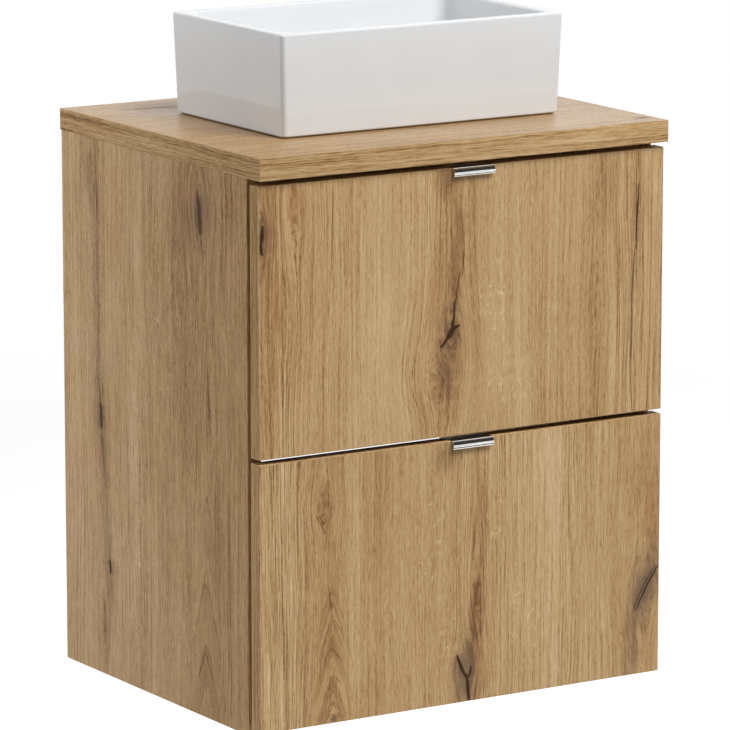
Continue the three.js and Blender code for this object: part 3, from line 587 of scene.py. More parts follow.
def oakMaterial(name, board):
    material, place, shader = newMaterial(name, SpecularIORLevel=board["shine"])
    plainAcross, along, depth = boardAxes(place, board)
    seed = board["seed"]

    def marked(group, **values):
        return useGroup(group, Across=plainAcross, Along=along, **values)

    across = plainAcross
    for eye in rowsOf(board, "eyes"):
        across = useGroup("eye", Across=across, Along=along, **eye)["Across"]
    lined = oakFinish["evenLines"]
    for band in rowsOf(board, "lined"):
        away = over(minus(plainAcross, band["Centre"]), band["Width"])
        lined = timesPlus(fade(squared(away)), band["Strength"], lined)
    grain = useGroup("grain", Across=across, Depth=depth, Along=along, Seed=seed, Spacing=board["spacing"],
                     Wander=board["wander"], Lined=lined)
    tone = timesPlus(minus(grain["Tone"], 0.5), board["contrast"], 0.5 + board["lift"])
    for row in rowsOf(board, "arches"):
        arch = marked("arch", Seed=seed, Jag=row["Round"] * 0.5 + 1.5, **row)
        ringed = timesPlus(arch["Lines"], -row["Strength"], 0.60 + board["lift"])
        ringed = timesPlus(minus(grain["Fibre"], 0.5), 0.5, ringed)
        tone = blend(arch["Mask"], tone, ringed, "FLOAT")
    tone = timesPlus(grain["Pores"], oakFinish["pores"], tone)

    wobble = grainNoise(across, seed, along, *oakFinish["wobble"])
    ragged = grainNoise(across, seed, along, *oakFinish["ragged"])
    warm, grey = times(grain["Bands"], oakFinish["bandWarmth"]), 0.0
    # stain rows darken, warm or grey the tone; the rows below and left of the pulls hold painted shadow
    for row in rowsOf(board, "stains"):
        mask = marked("stain", Uneven=ragged, **row)["Mask"]
        tone = timesPlus(mask, -row["Darkness"], tone)
        if row["Warmth"]:
            warm = timesPlus(mask, row["Warmth"], warm)
        if row["Greyness"]:
            grey = timesPlus(mask, row["Greyness"], grey)
    flecks = marked("flecks", Seed=seed)["Mask"]
    for row in rowsOf(board, "flecks"):
        patch = marked("stain", Uneven=ragged, **row)["Mask"]
        tone = timesPlus(times(patch, flecks), oakFinish["flecks"], tone)

    splits = halos = times(along, 0.0)  # none yet
    for row in rowsOf(board, "cracks"):
        crack = marked("crack", Uneven=wobble, **row)
        splits = largest(splits, times(crack["Mask"], row["Darkness"]))
        if row["Darkness"] > oakFinish["haloFrom"]:
            halos = largest(halos, times(crack["Halo"], row["Darkness"] * 0.5))
    tone = total(tone, times(halos, oakFinish["halos"]), times(splits, oakFinish["splits"]))
    colour = useGroup("tint", Tone=tone, Warm=warm, Grey=timesPlus(halos, 0.5, grey))["Color"]
    colour = blend(ramp(splits, *oakFinish["splitFill"]), colour, oakFinish["crackColour"])
    wear = mottled(place, oakFinish["mottle"], board["rough"])
    rough = timesPlus(splits, 0.4, timesPlus(grain["Pores"], 0.12, wear["Roughness"]))
    height = timesPlus(grain["Pores"], -0.6, timesPlus(splits, -1.0, grain["Fibre"]))
    feedNamed(shader, BaseColor=colour, Roughness=rough,
              Normal=bump(height, oakFinish["bump"], oakFinish["bumpDepth"]))
    return material


edgeBands = {
    # oakEdgeUpShaded is the vertical edge band painted darker as shade, for the fronts' edge faces and the
    # side panels' front and back edges
    "oakEdgeUpShaded": {"across": 0, "along": 2, "seed": 12.0, "spacing": 1.3, "lift": -0.12},
    # oakArrisHighlight is the same band painted lighter as a highlight on the rounded arrises
    "oakArrisHighlight": {"across": 0, "along": 2, "seed": 12.0, "spacing": 1.3, "lift": 0.10},
    "oakEdgeWide": {"across": 2, "along": 0, "seed": 13.5, "spacing": 1.25, "lift": 0.0},
    "oakEdgeSide": {"across": 2, "along": 1, "seed": 14.2, "spacing": 1.25, "lift": 0.0},
}
edgeFinish = {
    "contrast": 1.15, "wander": 2.0, "lined": 0.9, "pores": -0.10, "warm": 0.06, "shine": 0.15,
    "mottle": 40.0, "roughness": (0.46, 0.6), "bump": 0.15, "lean": 0.9,
}


def edgeMaterial(name, band):
    # printed edge band: finer, straighter lines than the boards have
    e = edgeFinish
    material, place, shader = newMaterial(name, SpecularIORLevel=e["shine"])
    across, along, depth = boardAxes(place, band)
    grain = useGroup("grain", Across=plus(across, times(depth, e["lean"])), Depth=0.0, Along=along,
                     Seed=band["seed"], Spacing=band["spacing"], Wander=e["wander"], Lined=e["lined"])
    tone = timesPlus(minus(grain["Tone"], 0.5), e["contrast"], 0.5 + band["lift"])
    tone = timesPlus(grain["Pores"], e["pores"], tone)
    feedNamed(shader, BaseColor=useGroup("tint", Tone=tone, Warm=e["warm"], Grey=0.0)["Color"],
              Roughness=mottled(place, e["mottle"], e["roughness"])["Roughness"],
              Normal=bump(grain["Fibre"], e["bump"], 0.0002))
    return material


materials = {name: oakMaterial(name, board) for name, board in oakBoards.items()}
materials.update({name: edgeMaterial(name, band) for name, band in edgeBands.items()})
print("oak ready:", len(materials), "materials")


plainFinishes = {
    # base colour, second colour, metallic, shine, lowest and highest roughness, mottle size, bump
    "ceramic": (srgb(230, 232, 234), srgb(228, 230, 232), 0.0, 0.45, (0.06, 0.09), 70.0, 0.02),
    "chrome": (srgb(230, 229, 226), srgb(221, 220, 217), 1.0, 0.5, (0.05, 0.10), 25.0, 0.0),
    "zinc": (srgb(178, 181, 184), srgb(168, 171, 175), 1.0, 0.5, (0.30, 0.38), 7.0, 0.04),
    "rubber": (srgb(44, 44, 45), srgb(34, 34, 35), 0.0, 0.5, (0.62, 0.82), 6.0, 0.12),
    "plastic": (srgb(232, 233, 232), srgb(224, 225, 223), 0.0, 0.5, (0.30, 0.44), 18.0, 0.05),
    "clearPlastic": (srgb(214, 212, 206), srgb(204, 202, 196), 0.0, 0.5, (0.22, 0.34), 6.0, 0.04),
    "bandCore": (srgb(206, 176, 112), srgb(194, 162, 98), 0.0, 0.5, (0.42, 0.55), 8.0, 0.06),
}


def plainMaterial(name, base, second, metallic, shine, roughness, size, relief):
    material, place, shader = newMaterial(name, Metallic=metallic, SpecularIORLevel=shine)
    mottle = mottled(place, size, roughness)
    colour = blend(ramp(mottle["Drift"], 0.35, 0.65), base, second)
    feedNamed(shader, BaseColor=colour, Roughness=mottle["Roughness"])
    if relief:
        feedNamed(shader, Normal=bump(mottle["Speckle"], relief, 0.0003))
    return material


for name, values in plainFinishes.items():
    materials[name] = plainMaterial(name, *values)

drawerBoardFinish = {
    "dark": srgb(92, 88, 83), "light": srgb(124, 119, 112), "thread": 1.1, "threadLength": 14.0,
    "roughness": (0.48, 0.6), "mottle": 50.0, "bump": 0.15,
}


def drawerBoardMaterial():
    # grey foil printed like a fine cloth
    values = drawerBoardFinish
    thin, long = values["thread"], values["threadLength"]
    material, place, shader = newMaterial("drawerBoard")
    x, y, z = split(place)
    flat = plus(x, y)
    across = grainNoise(flat, 0.0, z, thin, long, 2.0)
    up = grainNoise(flat, 3.0, z, long, thin, 2.0)
    mottle = mottled(place, values["mottle"], values["roughness"])
    weave = total(times(across, 0.4), times(up, 0.4), times(mottle["Drift"], 0.2))
    feedNamed(shader, BaseColor=blend(ramp(weave, 0.38, 0.62), values["dark"], values["light"]),
              Roughness=mottle["Roughness"], Normal=bump(weave, values["bump"], 0.0002))
    return material


materials["drawerBoard"] = drawerBoardMaterial()
print("plain finishes ready")


def addObject(name, data):
    thing = bpy.data.objects.new(name, data)
    bpy.context.scene.collection.objects.link(thing)
    return thing


def finishPiece(name, mesh, body, nodes=(), smooth=True):
    piece = addObject(name, mesh)
    if smooth:
        mesh.polygons.foreach_set("use_smooth", [True] * len(mesh.polygons))
    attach(piece, body)
    if nodes:
        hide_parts(*nodes)
    return piece


def pieceName(node):
    # most pieces are named after the node that they replace
    first, *rest = node.split("_")
    return first + "".join(word.capitalize() for word in rest)


def evenNormals(piece):
    # broad faces keep their own direction beside a narrow rounding
    modifier = piece.modifiers.new("evenNormals", "WEIGHTED_NORMAL")
    modifier.weight = 80
    modifier.keep_sharp = True


def softenEdges(piece, width, segments=3, limit="ANGLE", angle=35, material=-1):
    modifier = piece.modifiers.new("softenEdges", "BEVEL")
    modifier.width = width * mm
    modifier.segments = segments
    modifier.limit_method = limit
    modifier.angle_limit = math.radians(angle)
    modifier.harden_normals = True
    modifier.material = material


def mend(mesh, distance, finishes, change):
    # joins what lies closer than distance, changes the mesh and gives it its materials
    shape = bmesh.new()
    shape.from_mesh(mesh)
    bmesh.ops.remove_doubles(shape, verts=shape.verts, dist=distance)
    change(shape)
    shape.to_mesh(mesh)
    shape.free()
    for finish in finishes:
        mesh.materials.append(materials[finish])
    return mesh


def meshFrom(name, points, faces, *finishes):
    # points are in millimetres
    mesh = bpy.data.meshes.new(name)
    mesh.from_pydata([[value * mm for value in place] for place in points], [], faces)
    return mend(mesh, 1e-6, finishes, lambda shape: bmesh.ops.recalc_face_normals(shape, faces=shape.faces))


def copyOfNode(name, node, *finishes):
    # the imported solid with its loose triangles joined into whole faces
    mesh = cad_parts[node].data.copy()
    mesh.name = name
    mesh.materials.clear()
    return mend(mesh, 2e-6, finishes, lambda shape: bmesh.ops.dissolve_limit(
        shape, angle_limit=math.radians(0.5), verts=shape.verts, edges=shape.edges))


def ringFaces(rows, count, closed):
    # quads between neighbouring rings of count points
    faces = []
    for row in range(rows if closed else rows - 1):
        a, b = row * count, (row + 1) % rows * count
        faces += [(a + n, a + m, b + m, b + n) for n, m in zip(range(count), (*range(1, count), 0))]
    return faces


def rangeOf(node):
    low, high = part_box(node)
    return [[a / mm, b / mm] for a, b in zip(low, high)]


def middle(span):
    return (span[0] + span[1]) / 2


def boardPiece(node, body, slot, face, edges, width, name=None, segments=2):
    # face is the finish of the two broad faces, edges are those of the faces along the other axes
    name = name or pieceName(node)
    mesh = copyOfNode(name, node, face, *edges)
    sizes = [high - low for low, high in rangeOf(node)]
    thin = sizes.index(min(sizes))
    others = [n for n in range(3) if n != thin]
    for polygon in mesh.polygons:
        facing = max(range(3), key=lambda n: abs(polygon.normal[n]))
        polygon.material_index = 0 if facing == thin else 1 + others.index(facing) % len(edges)
    softenEdges(finishPiece(name, mesh, body, [node]), width, segments)


def filleted(corners, closed, steps=5):
    # corners: (a, b, fillet); returns the outline with each corner rounded
    result = []
    for n, (a, b, fillet) in enumerate(corners):
        here = Vector((a, b))
        if fillet <= 0 or not closed and n in (0, len(corners) - 1):
            result.append(here)
            continue
        before, after = Vector(corners[n - 1][:2]) - here, Vector(corners[(n + 1) % len(corners)][:2]) - here
        cut = min(fillet, before.length * 0.49, after.length * 0.49)
        start, stop = here + before.normalized() * cut, here + after.normalized() * cut
        for step in range(steps + 1):
            t = step / steps
            result.append(start * (1 - t) ** 2 + here * 2 * t * (1 - t) + stop * t * t)
    return result


def lathePiece(node, finish, centre, corners, name=None, body="base", axis="z", sides=96):
    # corners run as (radius, height, fillet); an outline that starts on the axis is open, others are closed
    name = name or pieceName(node)
    closed = corners[0][0] > 0
    outline = filleted(corners, closed)
    points = []
    for radius, height in outline:
        for n in range(sides):
            angle = 2 * math.pi * n / sides
            a, b = radius * math.cos(angle), radius * math.sin(angle)
            place = (a, b, height) if axis == "z" else (a, height, b)
            points.append([c + p for c, p in zip(centre, place)])
    mesh = meshFrom(name, points, ringFaces(len(outline), sides, closed), finish)
    evenNormals(finishPiece(name, mesh, body, [node] if node else []))


def addNode(tree, kind, **values):
    # keyword names are socket names without spaces, or settings of the node itself
    node = tree.nodes.new(kind)
    for label in [label for label in values if hasattr(node, label)]:
        setattr(node, label, values.pop(label))
    feedNamed([socket for socket in node.inputs if socket.enabled], **values)
    return node


def geometryTree(name, **inputs):
    i, ends = newTree(name, "GeometryNodeTree", {"Geometry": "Geometry", **inputs, "Material": None},
                      {"Geometry": "Geometry"})
    return ends[0].id_data, i, ends


def closeTree(tree, i, ends, shape):
    real = addNode(tree, "GeometryNodeRealizeInstances", Geometry=shape)
    painted = addNode(tree, "GeometryNodeSetMaterial", Geometry=real.outputs[0], Material=i["Material"])
    feed(ends[0], painted.outputs[0])
    return tree


treeLengths = ("Start", "Step", "Centre", "Radius", "Height", "Recess", "Width")


def bakeTree(name, tree, body, slot, finish, nodes=(), smooth=True, **values):
    # runs the tree on an empty mesh and keeps the result as a plain piece; lengths are in millimetres
    holder = addObject(name + "Holder", bpy.data.meshes.new(name + "Holder"))
    modifier = holder.modifiers.new("tree", "NODES")
    modifier.node_group = tree
    values["Material"] = materials[finish]
    for item in tree.interface.items_tree:
        if item.in_out == "INPUT" and item.name in values:
            value = values[item.name]
            if item.name in treeLengths:
                value = tuple(v * mm for v in value) if isinstance(value, (tuple, list)) else value * mm
            modifier[item.identifier] = value
    bpy.context.view_layer.update()
    evaluated = holder.evaluated_get(bpy.context.evaluated_depsgraph_get())
    mesh = bpy.data.meshes.new_from_object(evaluated)
    mesh.name = name
    bpy.data.objects.remove(holder)
    finishPiece(name, mesh, body, nodes, smooth)


def makeScrewTree():
    # a row of domed heads with a cross recess; heads face along -Y until Turn turns them
    tree, i, ends = geometryTree(
        "screwRow", Count=2, Start=(0.0, 0.0, 0.0), Step=(0.01, 0.0, 0.0), Turn=(0.0, 0.0, 0.0),
        Radius=0.0035, Height=0.002, Recess=0.0022)
    line = addNode(tree, "GeometryNodeMeshLine", Count=i["Count"], StartLocation=i["Start"], Offset=i["Step"])
    disc = addNode(tree, "GeometryNodeMeshCylinder", Vertices=28, SideSegments=1, FillSegments=1,
                   Radius=i["Radius"], Depth=i["Height"])
    head = addNode(tree, "GeometryNodeTransform", Geometry=disc.outputs[0], Rotation=(quarter, 0.0, 0.0))
    long, short, height = i["Recess"], times(i["Recess"], 0.28), times(i["Height"], 1.2)
    cross = addNode(tree, "GeometryNodeJoinGeometry")
    for x, z in ((long, short), (short, long)):
        feed(cross.inputs[0], addNode(tree, "GeometryNodeMeshCube", Size=point(x, height, z)).outputs[0])
    sunk = addNode(tree, "GeometryNodeTransform", Geometry=cross.outputs[0],
                   Translation=point(0.0, times(i["Height"], -0.75), 0.0))
    cut = addNode(tree, "GeometryNodeMeshBoolean", operation="DIFFERENCE")
    feedAll(cut.inputs, (head.outputs[0], sunk.outputs[0]))
    row = addNode(tree, "GeometryNodeInstanceOnPoints", Points=line.outputs[0], Instance=cut.outputs[0],
                  Rotation=i["Turn"])
    return closeTree(tree, i, ends, row.outputs[0])


def makePadTree():
    # a row of low domed pads; domes face +Z until Turn turns them
    tree, i, ends = geometryTree(
        "padRow", Count=2, Start=(0.0, 0.0, 0.0), Step=(0.0, 0.0, -0.05), Turn=(0.0, 0.0, 0.0),
        Radius=0.004, Height=0.002)
    line = addNode(tree, "GeometryNodeMeshLine", Count=i["Count"], StartLocation=i["Start"], Offset=i["Step"])
    ball = addNode(tree, "GeometryNodeMeshUVSphere", Segments=24, Rings=12, Radius=1.0)
    dome = addNode(tree, "GeometryNodeTransform", Geometry=ball.outputs[0],
                   Scale=point(i["Radius"], i["Radius"], i["Height"]))
    row = addNode(tree, "GeometryNodeInstanceOnPoints", Points=line.outputs[0], Instance=dome.outputs[0],
                  Rotation=i["Turn"])
    return closeTree(tree, i, ends, row.outputs[0])


def makeRibTree():
    # grip ribs round a nut whose axis is Z, then turned and placed
    tree, i, ends = geometryTree(
        "gripRibs", Count=24, Radius=0.026, Width=0.0016, Height=0.014, Centre=(0.0, 0.0, 0.0),
        Turn=(0.0, 0.0, 0.0))
    ring = addNode(tree, "GeometryNodeMeshCircle", Vertices=i["Count"], Radius=i["Radius"])
    rib = addNode(tree, "GeometryNodeMeshCylinder", Vertices=10, SideSegments=1, FillSegments=1,
                  Radius=i["Width"], Depth=i["Height"])
    row = addNode(tree, "GeometryNodeInstanceOnPoints", Points=ring.outputs[0], Instance=rib.outputs[0])
    placed = addNode(tree, "GeometryNodeTransform", Geometry=row.outputs[0], Translation=i["Centre"],
                     Rotation=i["Turn"])
    return closeTree(tree, i, ends, placed.outputs[0])


screwTree, padTree, ribTree = makeScrewTree(), makePadTree(), makeRibTree()
print("geometry trees ready")


def screwRow(name, body, screw, start, step, turn=(0.0, 0.0, 0.0), nodes=()):
    # two heads a step apart; screw holds their radius, height and recess
    bakeTree(name, screwTree, body, "steel", "zinc", nodes, smooth=False, Count=2, Start=start, Step=step,
             Turn=turn, Radius=screw["radius"], Height=screw["height"], Recess=screw["recess"])


worktopEdge = {"board": 0.2, "band": 0.35, "segments": 3}

boardPiece("worktop", "base", "oak", "oakTop", ["oakEdgeSide", "oakEdgeWide"], worktopEdge["board"],
           "worktopBoard")


def bandPiece(node, finish, endAxis):
    # an edge band with its plain core showing at the ends
    name = pieceName(node)
    mesh = copyOfNode(name, node, finish, "bandCore")
    for polygon in mesh.polygons:
        polygon.material_index = 1 if abs(polygon.normal[endAxis]) > 0.9 else 0
    softenEdges(finishPiece(name, mesh, "base", [node]), worktopEdge["band"],
                worktopEdge["segments"])


bandPiece("worktop_front_band", "oakEdgeWide", 0)
bandPiece("worktop_left_band", "oakEdgeSide", 1)
bandPiece("worktop_right_band", "oakEdgeSide", 1)
print("worktop ready")


cabinetEdge = 0.6
# upright boards' front and back edges take the edge band painted darker as shade
upright = ["oakEdgeUpShaded", "oakEdgeSide"]
level = ["oakEdgeSide", "oakEdgeWide"]
cabinetBoards = {
    # slot, face finish, edge finishes
    "left_side_panel": ("oak", "oakLeftSide", upright),
    "right_side_panel": ("oak", "oakRightSide", upright),
    "bottom_panel": ("carcass", "oakCarcassDepth", level),
    "front_top_rail": ("carcass", "oakCarcassDepth", level),
    "rear_lower_rail": ("carcass", "oakCarcass", level),
    "rear_hanging_rail": ("carcass", "oakCarcass", level),
}

for node, finishes in cabinetBoards.items():
    boardPiece(node, "base", *finishes, cabinetEdge)
print("cabinet ready")

camLock = {"radius": 7.5, "height": 0.9, "recess": 6.5, "proud": 0.3, "fromEnd": 34.0, "fromEdge": 20.0}
bumper = {"radius": 4.0, "height": 1.8, "fromEnd": 30.0}


def camLocks(name, node, axis, facing, rowAxis, turn):
    # two zinc locks at each end of a board, nearly flush in the face that looks along axis
    ranges = rangeOf(node)
    low, high = ranges[rowAxis]
    for side, end, inwards in (("Left", 0, 1), ("Right", 1, -1)):
        start, step = [ranges[0][end] + inwards * camLock["fromEnd"], 0, 0], [0.0, 0.0, 0.0]
        start[rowAxis] = low + camLock["fromEdge"]
        start[axis] = ranges[axis][facing > 0] - facing * (camLock["height"] / 2 - camLock["proud"])
        step[rowAxis] = high - low - 2 * camLock["fromEdge"]
        screwRow(name + side, "base", camLock, start, step, turn)


camLocks("lowerRailLocks", "rear_lower_rail", 1, 1, 2, (0.0, 0.0, math.pi))
camLocks("topRailLocks", "front_top_rail", 2, -1, 1, (quarter, 0.0, 0.0))
camLocks("bottomLocks", "bottom_panel", 2, 1, 1, (-quarter, 0.0, 0.0))

for side in ("left", "right"):
    across, (front, _), _ = rangeOf(f"{side}_side_panel")
    for drawer in ("upper", "lower"):
        low, high = rangeOf(f"{drawer}_drawer_front")[2]
        bakeTree(f"{side}{drawer.capitalize()}Bumpers", padTree, "base", "rubber", "clearPlastic", Count=2,
                 Start=(middle(across), front, high - bumper["fromEnd"]),
                 Step=(0, 0, -(high - low - 2 * bumper["fromEnd"])), Turn=(quarter, 0.0, 0.0),
                 Radius=bumper["radius"], Height=bumper["height"])
print("cabinet fittings ready")


frontEdge = {
    "round": 1.4, "backRound": 3.0, "notchRound": 0.25, "segments": 4, "upperTrim": 0.5, "notchGap": 0.3,
}


def frontPiece(drawer, finish, trim=0.0):
    (left, right), (face, back), (low, high) = rangeOf(f"{drawer}_drawer_front")
    low += trim
    gap = frontEdge["notchGap"]
    pullLeft, pullRight = rangeOf(f"{drawer}_pull")[0]
    notch = high - pullShape["gauge"] - gap
    outline = [
        (left, high), (pullLeft - gap, high), (pullLeft - gap, notch), (pullRight + gap, notch),
        (pullRight + gap, high), (right, high), (right, low), (left, low),
    ]
    count = len(outline)
    points = [(x, y, z) for y in (face, back) for x, z in outline]
    faces = [list(range(count)), list(range(2 * count - 1, count - 1, -1))]
    faces += [[n, n + count, (n + 1) % count + count, (n + 1) % count] for n in range(count)]
    # edge faces take the band painted darker as shade; the bevelled arrises take the band painted lighter as
    # highlight
    mesh = meshFrom(f"{drawer}Front", points, faces, finish, "oakEdgeUpShaded", "oakArrisHighlight")
    for polygon in mesh.polygons:
        polygon.material_index = 0 if abs(polygon.normal.y) > 0.9 else 1
    weights = mesh.attributes.new("bevel_weight_edge", "FLOAT", "EDGE")
    for edge in mesh.edges:
        ends = [mesh.vertices[v].co / mm for v in edge.vertices]
        rounding = frontEdge["backRound" if all(v.y > back - 1 for v in ends) else "round"]
        if all(pullLeft - 1 < v.x < pullRight + 1 and v.z > notch - 1 for v in ends):
            rounding = frontEdge["notchRound"]
        weights.data[edge.index].value = rounding / frontEdge["backRound"]
    piece = finishPiece(mesh.name, mesh, f"{drawer}_drawer", [f"{drawer}_drawer_front"])
    softenEdges(piece, frontEdge["backRound"], frontEdge["segments"], "WEIGHT", material=2)


pullShape = {
    "gauge": 1.5, "thinning": 0.85, "lip": 2.6, "lipDrop": 0.85, "lipRound": 0.25, "lipInner": 0.95,
    "slope": (56, 24, 7.0), "nose": (24, 0, 5.0), "reach": 5.5, "noseDrop": 7.0, "curl": 2.6,
    "curlTurn": 72, "tail": 20.0, "backBend": 1.6, "cornerRound": 1.6, "edgeRound": 0.2,
}

frontPiece("upper", "oakUpperFront", frontEdge["upperTrim"])
frontPiece("lower", "oakLowerFront")
print("drawer fronts ready")


drawerEdge = 0.5
drawerBoards = {
    "upper": "left_side right_side bottom back_left back_right siphon_left siphon_right siphon_front",
    "lower": "left_side right_side bottom back",
}

for drawer, boards in drawerBoards.items():
    for board in boards.split():
        boardPiece(f"{drawer}_drawer_{board}", f"{drawer}_drawer", "drawer_board", "drawerBoard",
                   ["drawerBoard"], drawerEdge)
print("drawer boxes ready")


def pullSkins(back):
    # outer and inner skin of the folded sheet as (y, z), from the tail behind the front to the curled edge
    p = pullShape
    gauge, bend = p["gauge"], p["backBend"]
    skins = []

    def arc(cy, cz, outer, inner, start, stop, steps):
        for n in range(steps + 1):
            angle = math.radians(start + (stop - start) * n / steps)
            y, z = math.cos(angle), math.sin(angle)
            skins.append(((cy + outer * y, cz + outer * z), (cy + inner * y, cz + inner * z)))

    for share in (0, 0.5, 1):
        z = -p["tail"] + (p["tail"] - gauge / 2 - bend) * share
        skins.append(((back + gauge, z), (back, z)))
    turn = gauge / 2 + bend
    arc(back + gauge - turn, -turn, turn, turn - gauge, 0, 90, 8)
    skins.append(((back * 0.5, 0.0), (back * 0.5, -gauge)))
    lip = p["lip"]
    for angle in (90, 60, 30, 0):
        a = math.radians(angle)
        outer = (p["lipRound"] * (1 - math.cos(a)) - lip, p["lipRound"] * (math.sin(a) - 1))
        # the inner skin creeps, so that no two of its points meet
        inner = (p["lipInner"] - lip - 0.002 * (90 - angle), -gauge - 0.001 * (90 - angle))
        skins.append((outer, inner))
    # the sheet is drawn thinner where it curves down in front of the wood
    thin = gauge * p["thinning"]
    y, z = -lip, -p["lipDrop"]
    for start, stop, radius in (p["slope"], p["nose"]):
        a = math.radians(start)
        cy, cz = y + radius * math.cos(a), z - radius * math.sin(a)
        arc(cy, cz, radius, radius - thin, 180 - start, 180 - stop, 12)
        a = math.radians(stop)
        y, z = cy - radius * math.cos(a), cz + radius * math.sin(a)
    nose = -p["reach"]
    skins.append(((nose, -p["noseDrop"]), (nose + thin, -p["noseDrop"])))
    arc(nose + p["curl"], -p["noseDrop"], p["curl"], p["curl"] - thin, 180, 180 + p["curlTurn"], 10)
    return skins


def pullPiece(node, body):
    across, (front, back), (_, high) = rangeOf(node)
    face = front + pullShape["reach"]
    line = pullSkins(back - pullShape["gauge"] - face)
    centre, halfWidth = middle(across), (across[1] - across[0]) / 2
    lengths = [0.0]
    for ((y0, z0), _), ((y1, z1), _) in zip(line, line[1:]):
        lengths.append(lengths[-1] + math.hypot(y1 - y0, z1 - z0))
    corner = pullShape["cornerRound"]
    points, faces = [], []
    for skins, run in zip(line, lengths):
        # the sheet narrows at its two ends, which rounds its corners
        near = [max(0.0, corner - distance) for distance in (lengths[-1] - run, run)]
        width = halfWidth - max(corner - math.sqrt(max(corner ** 2 - d ** 2, 0)) for d in near)
        points += [(centre + side * width, face + y, high + z) for side in (-1, 1) for y, z in skins]
    end = (len(line) - 1) * 4
    for a in range(0, end, 4):
        b = a + 4
        faces += [(a, b, b + 2, a + 2), (a + 1, a + 3, b + 3, b + 1)]
        faces += [(a, a + 1, b + 1, b), (a + 2, b + 2, b + 3, a + 3)]
    faces += [(0, 2, 3, 1), (end, end + 1, end + 3, end + 2)]
    name = pieceName(node)
    mesh = meshFrom(name, points, faces, "chrome")
    softenEdges(finishPiece(name, mesh, body, [node]), pullShape["edgeRound"], angle=50)


pullScrew = {"radius": 3.5, "height": 2.0, "recess": 3.6}

for drawer in ("upper", "lower"):
    body = f"{drawer}_drawer"
    pullPiece(f"{drawer}_pull", body)
    nodes = [f"{drawer}_pull_screw_{n}" for n in (1, 2)]
    first, second = rangeOf(nodes[0]), rangeOf(nodes[1])
    start = (middle(first[0]), first[1][1] - pullScrew["height"] / 2, middle(first[2]))
    screwRow(f"{drawer}PullScrews", body, pullScrew, start, (second[0][0] - first[0][0], 0, 0),
             (0.0, 0.0, math.pi), nodes)
print("pulls ready")


basinShape = {
    "taper": 3.5, "corner": 5.0, "rim": 12.0, "rimRound": 2.5, "footRound": 1.6, "footGap": 1.1,
    "footStep": 1.5, "flare": 4.0, "bowlTaper": 6.0, "bowlCorner": 16.0, "cove": 22.0, "floor": 18.0,
    "floorFall": 1.2, "hole": 22.5, "cornerSteps": 10, "sideSteps": 6,
}


def roundedRing(halfX, halfY, corner, height):
    # one level of the basin: corners as arcs and even points along the sides
    signs = [(1, 1), (-1, 1), (-1, -1), (1, -1)]

    def onCorner(n, degrees):
        angle = math.radians(degrees)
        return Vector((signs[n][0] * (halfX - corner) + corner * math.cos(angle),
                       signs[n][1] * (halfY - corner) + corner * math.sin(angle), height))

    ring = []
    steps, sides = basinShape["cornerSteps"], basinShape["sideSteps"]
    for n in range(4):
        ring += [onCorner(n, 90 * n + 90 * step / steps) for step in range(steps + 1)]
        last, goal = ring[-1], onCorner((n + 1) % 4, 90 * ((n + 1) % 4))
        ring += [last.lerp(goal, step / sides) for step in range(1, sides)]
    return ring


def basinPiece():
    b = basinShape
    across, deep, (low, high) = rangeOf("basin")
    halfX, halfY, height = (across[1] - across[0]) / 2, (deep[1] - deep[0]) / 2, high - low
    rings = []

    def level(inset, z, corner=b["corner"]):
        rings.append(roundedRing(halfX - inset, halfY - inset, corner, z))

    def arc(steps):
        # sine and cosine from 0 to 90 degrees
        angles = [math.radians(90 * n / steps) for n in range(steps + 1)]
        return [(math.sin(angle), math.cos(angle)) for angle in angles]

    # foot, outer wall and rim
    foot = b["taper"] + b["footRound"]
    for inset, z in ((foot + 4, 0), (foot + b["footStep"], 0), (foot + b["footStep"], b["footGap"])):
        level(inset, z)
    for sine, cosine in arc(6):
        level(b["taper"] + b["footRound"] * (1 - sine), b["footGap"] + b["footRound"] * (1 - cosine))
    level(b["taper"] * 0.97, b["footGap"] + b["footRound"] + 1)
    level(b["taper"] * 0.5, height / 2)
    level(b["taper"] * 0.03, height - b["rimRound"] - 1)
    for sine, cosine in arc(6):
        level(b["rimRound"] * (1 - cosine), height - b["rimRound"] * (1 - sine))
    level(b["rimRound"] + 0.6, height)

    # flare, inner wall and cove
    bowl = b["bowlCorner"]
    level(b["rim"] - b["flare"] - 0.6, height, bowl * 0.9)
    for sine, cosine in reversed(arc(6)):
        level(b["rim"] - b["flare"] * (1 - cosine), height - b["flare"] * (1 - sine), bowl)
    wall = b["rim"] + b["bowlTaper"]
    bottom = b["floor"] + b["floorFall"]
    level(b["rim"] + 0.3, height - b["flare"] - 3, bowl)
    level(wall - 0.5, bottom + b["cove"] + 6, bowl)
    for sine, cosine in reversed(arc(12)):
        inset = b["cove"] * (1 - sine)
        level(wall + inset, bottom + b["cove"] * (1 - cosine), bowl + inset * 0.5)

    # the floor draws in to the round hole
    edge = [Vector((p.x, p.y, 0)) for p in rings[-1]]
    for share in (0.12, 0.3, 0.5, 0.7, 0.86, 0.96, 1.0):
        ring = [p.lerp(p.normalized() * (b["hole"] + 1.0), share) for p in edge]
        rings.append([Vector((p.x, p.y, b["floor"] + b["floorFall"] * (1 - share) ** 2)) for p in ring])
    for radius, z in ((b["hole"] + 0.4, b["floor"] - 0.2), (b["hole"], b["floor"] - 1), (b["hole"], 0)):
        rings.append([p.normalized() * radius + Vector((0, 0, z)) for p in edge])
    centre = Vector((middle(across), middle(deep), low))
    mesh = meshFrom("basinShell", [centre + p for ring in rings for p in ring],
                    ringFaces(len(rings), len(edge), True), "ceramic")
    evenNormals(finishPiece("basinShell", mesh, "base", ["basin"]))


basinPiece()
print("basin ready")


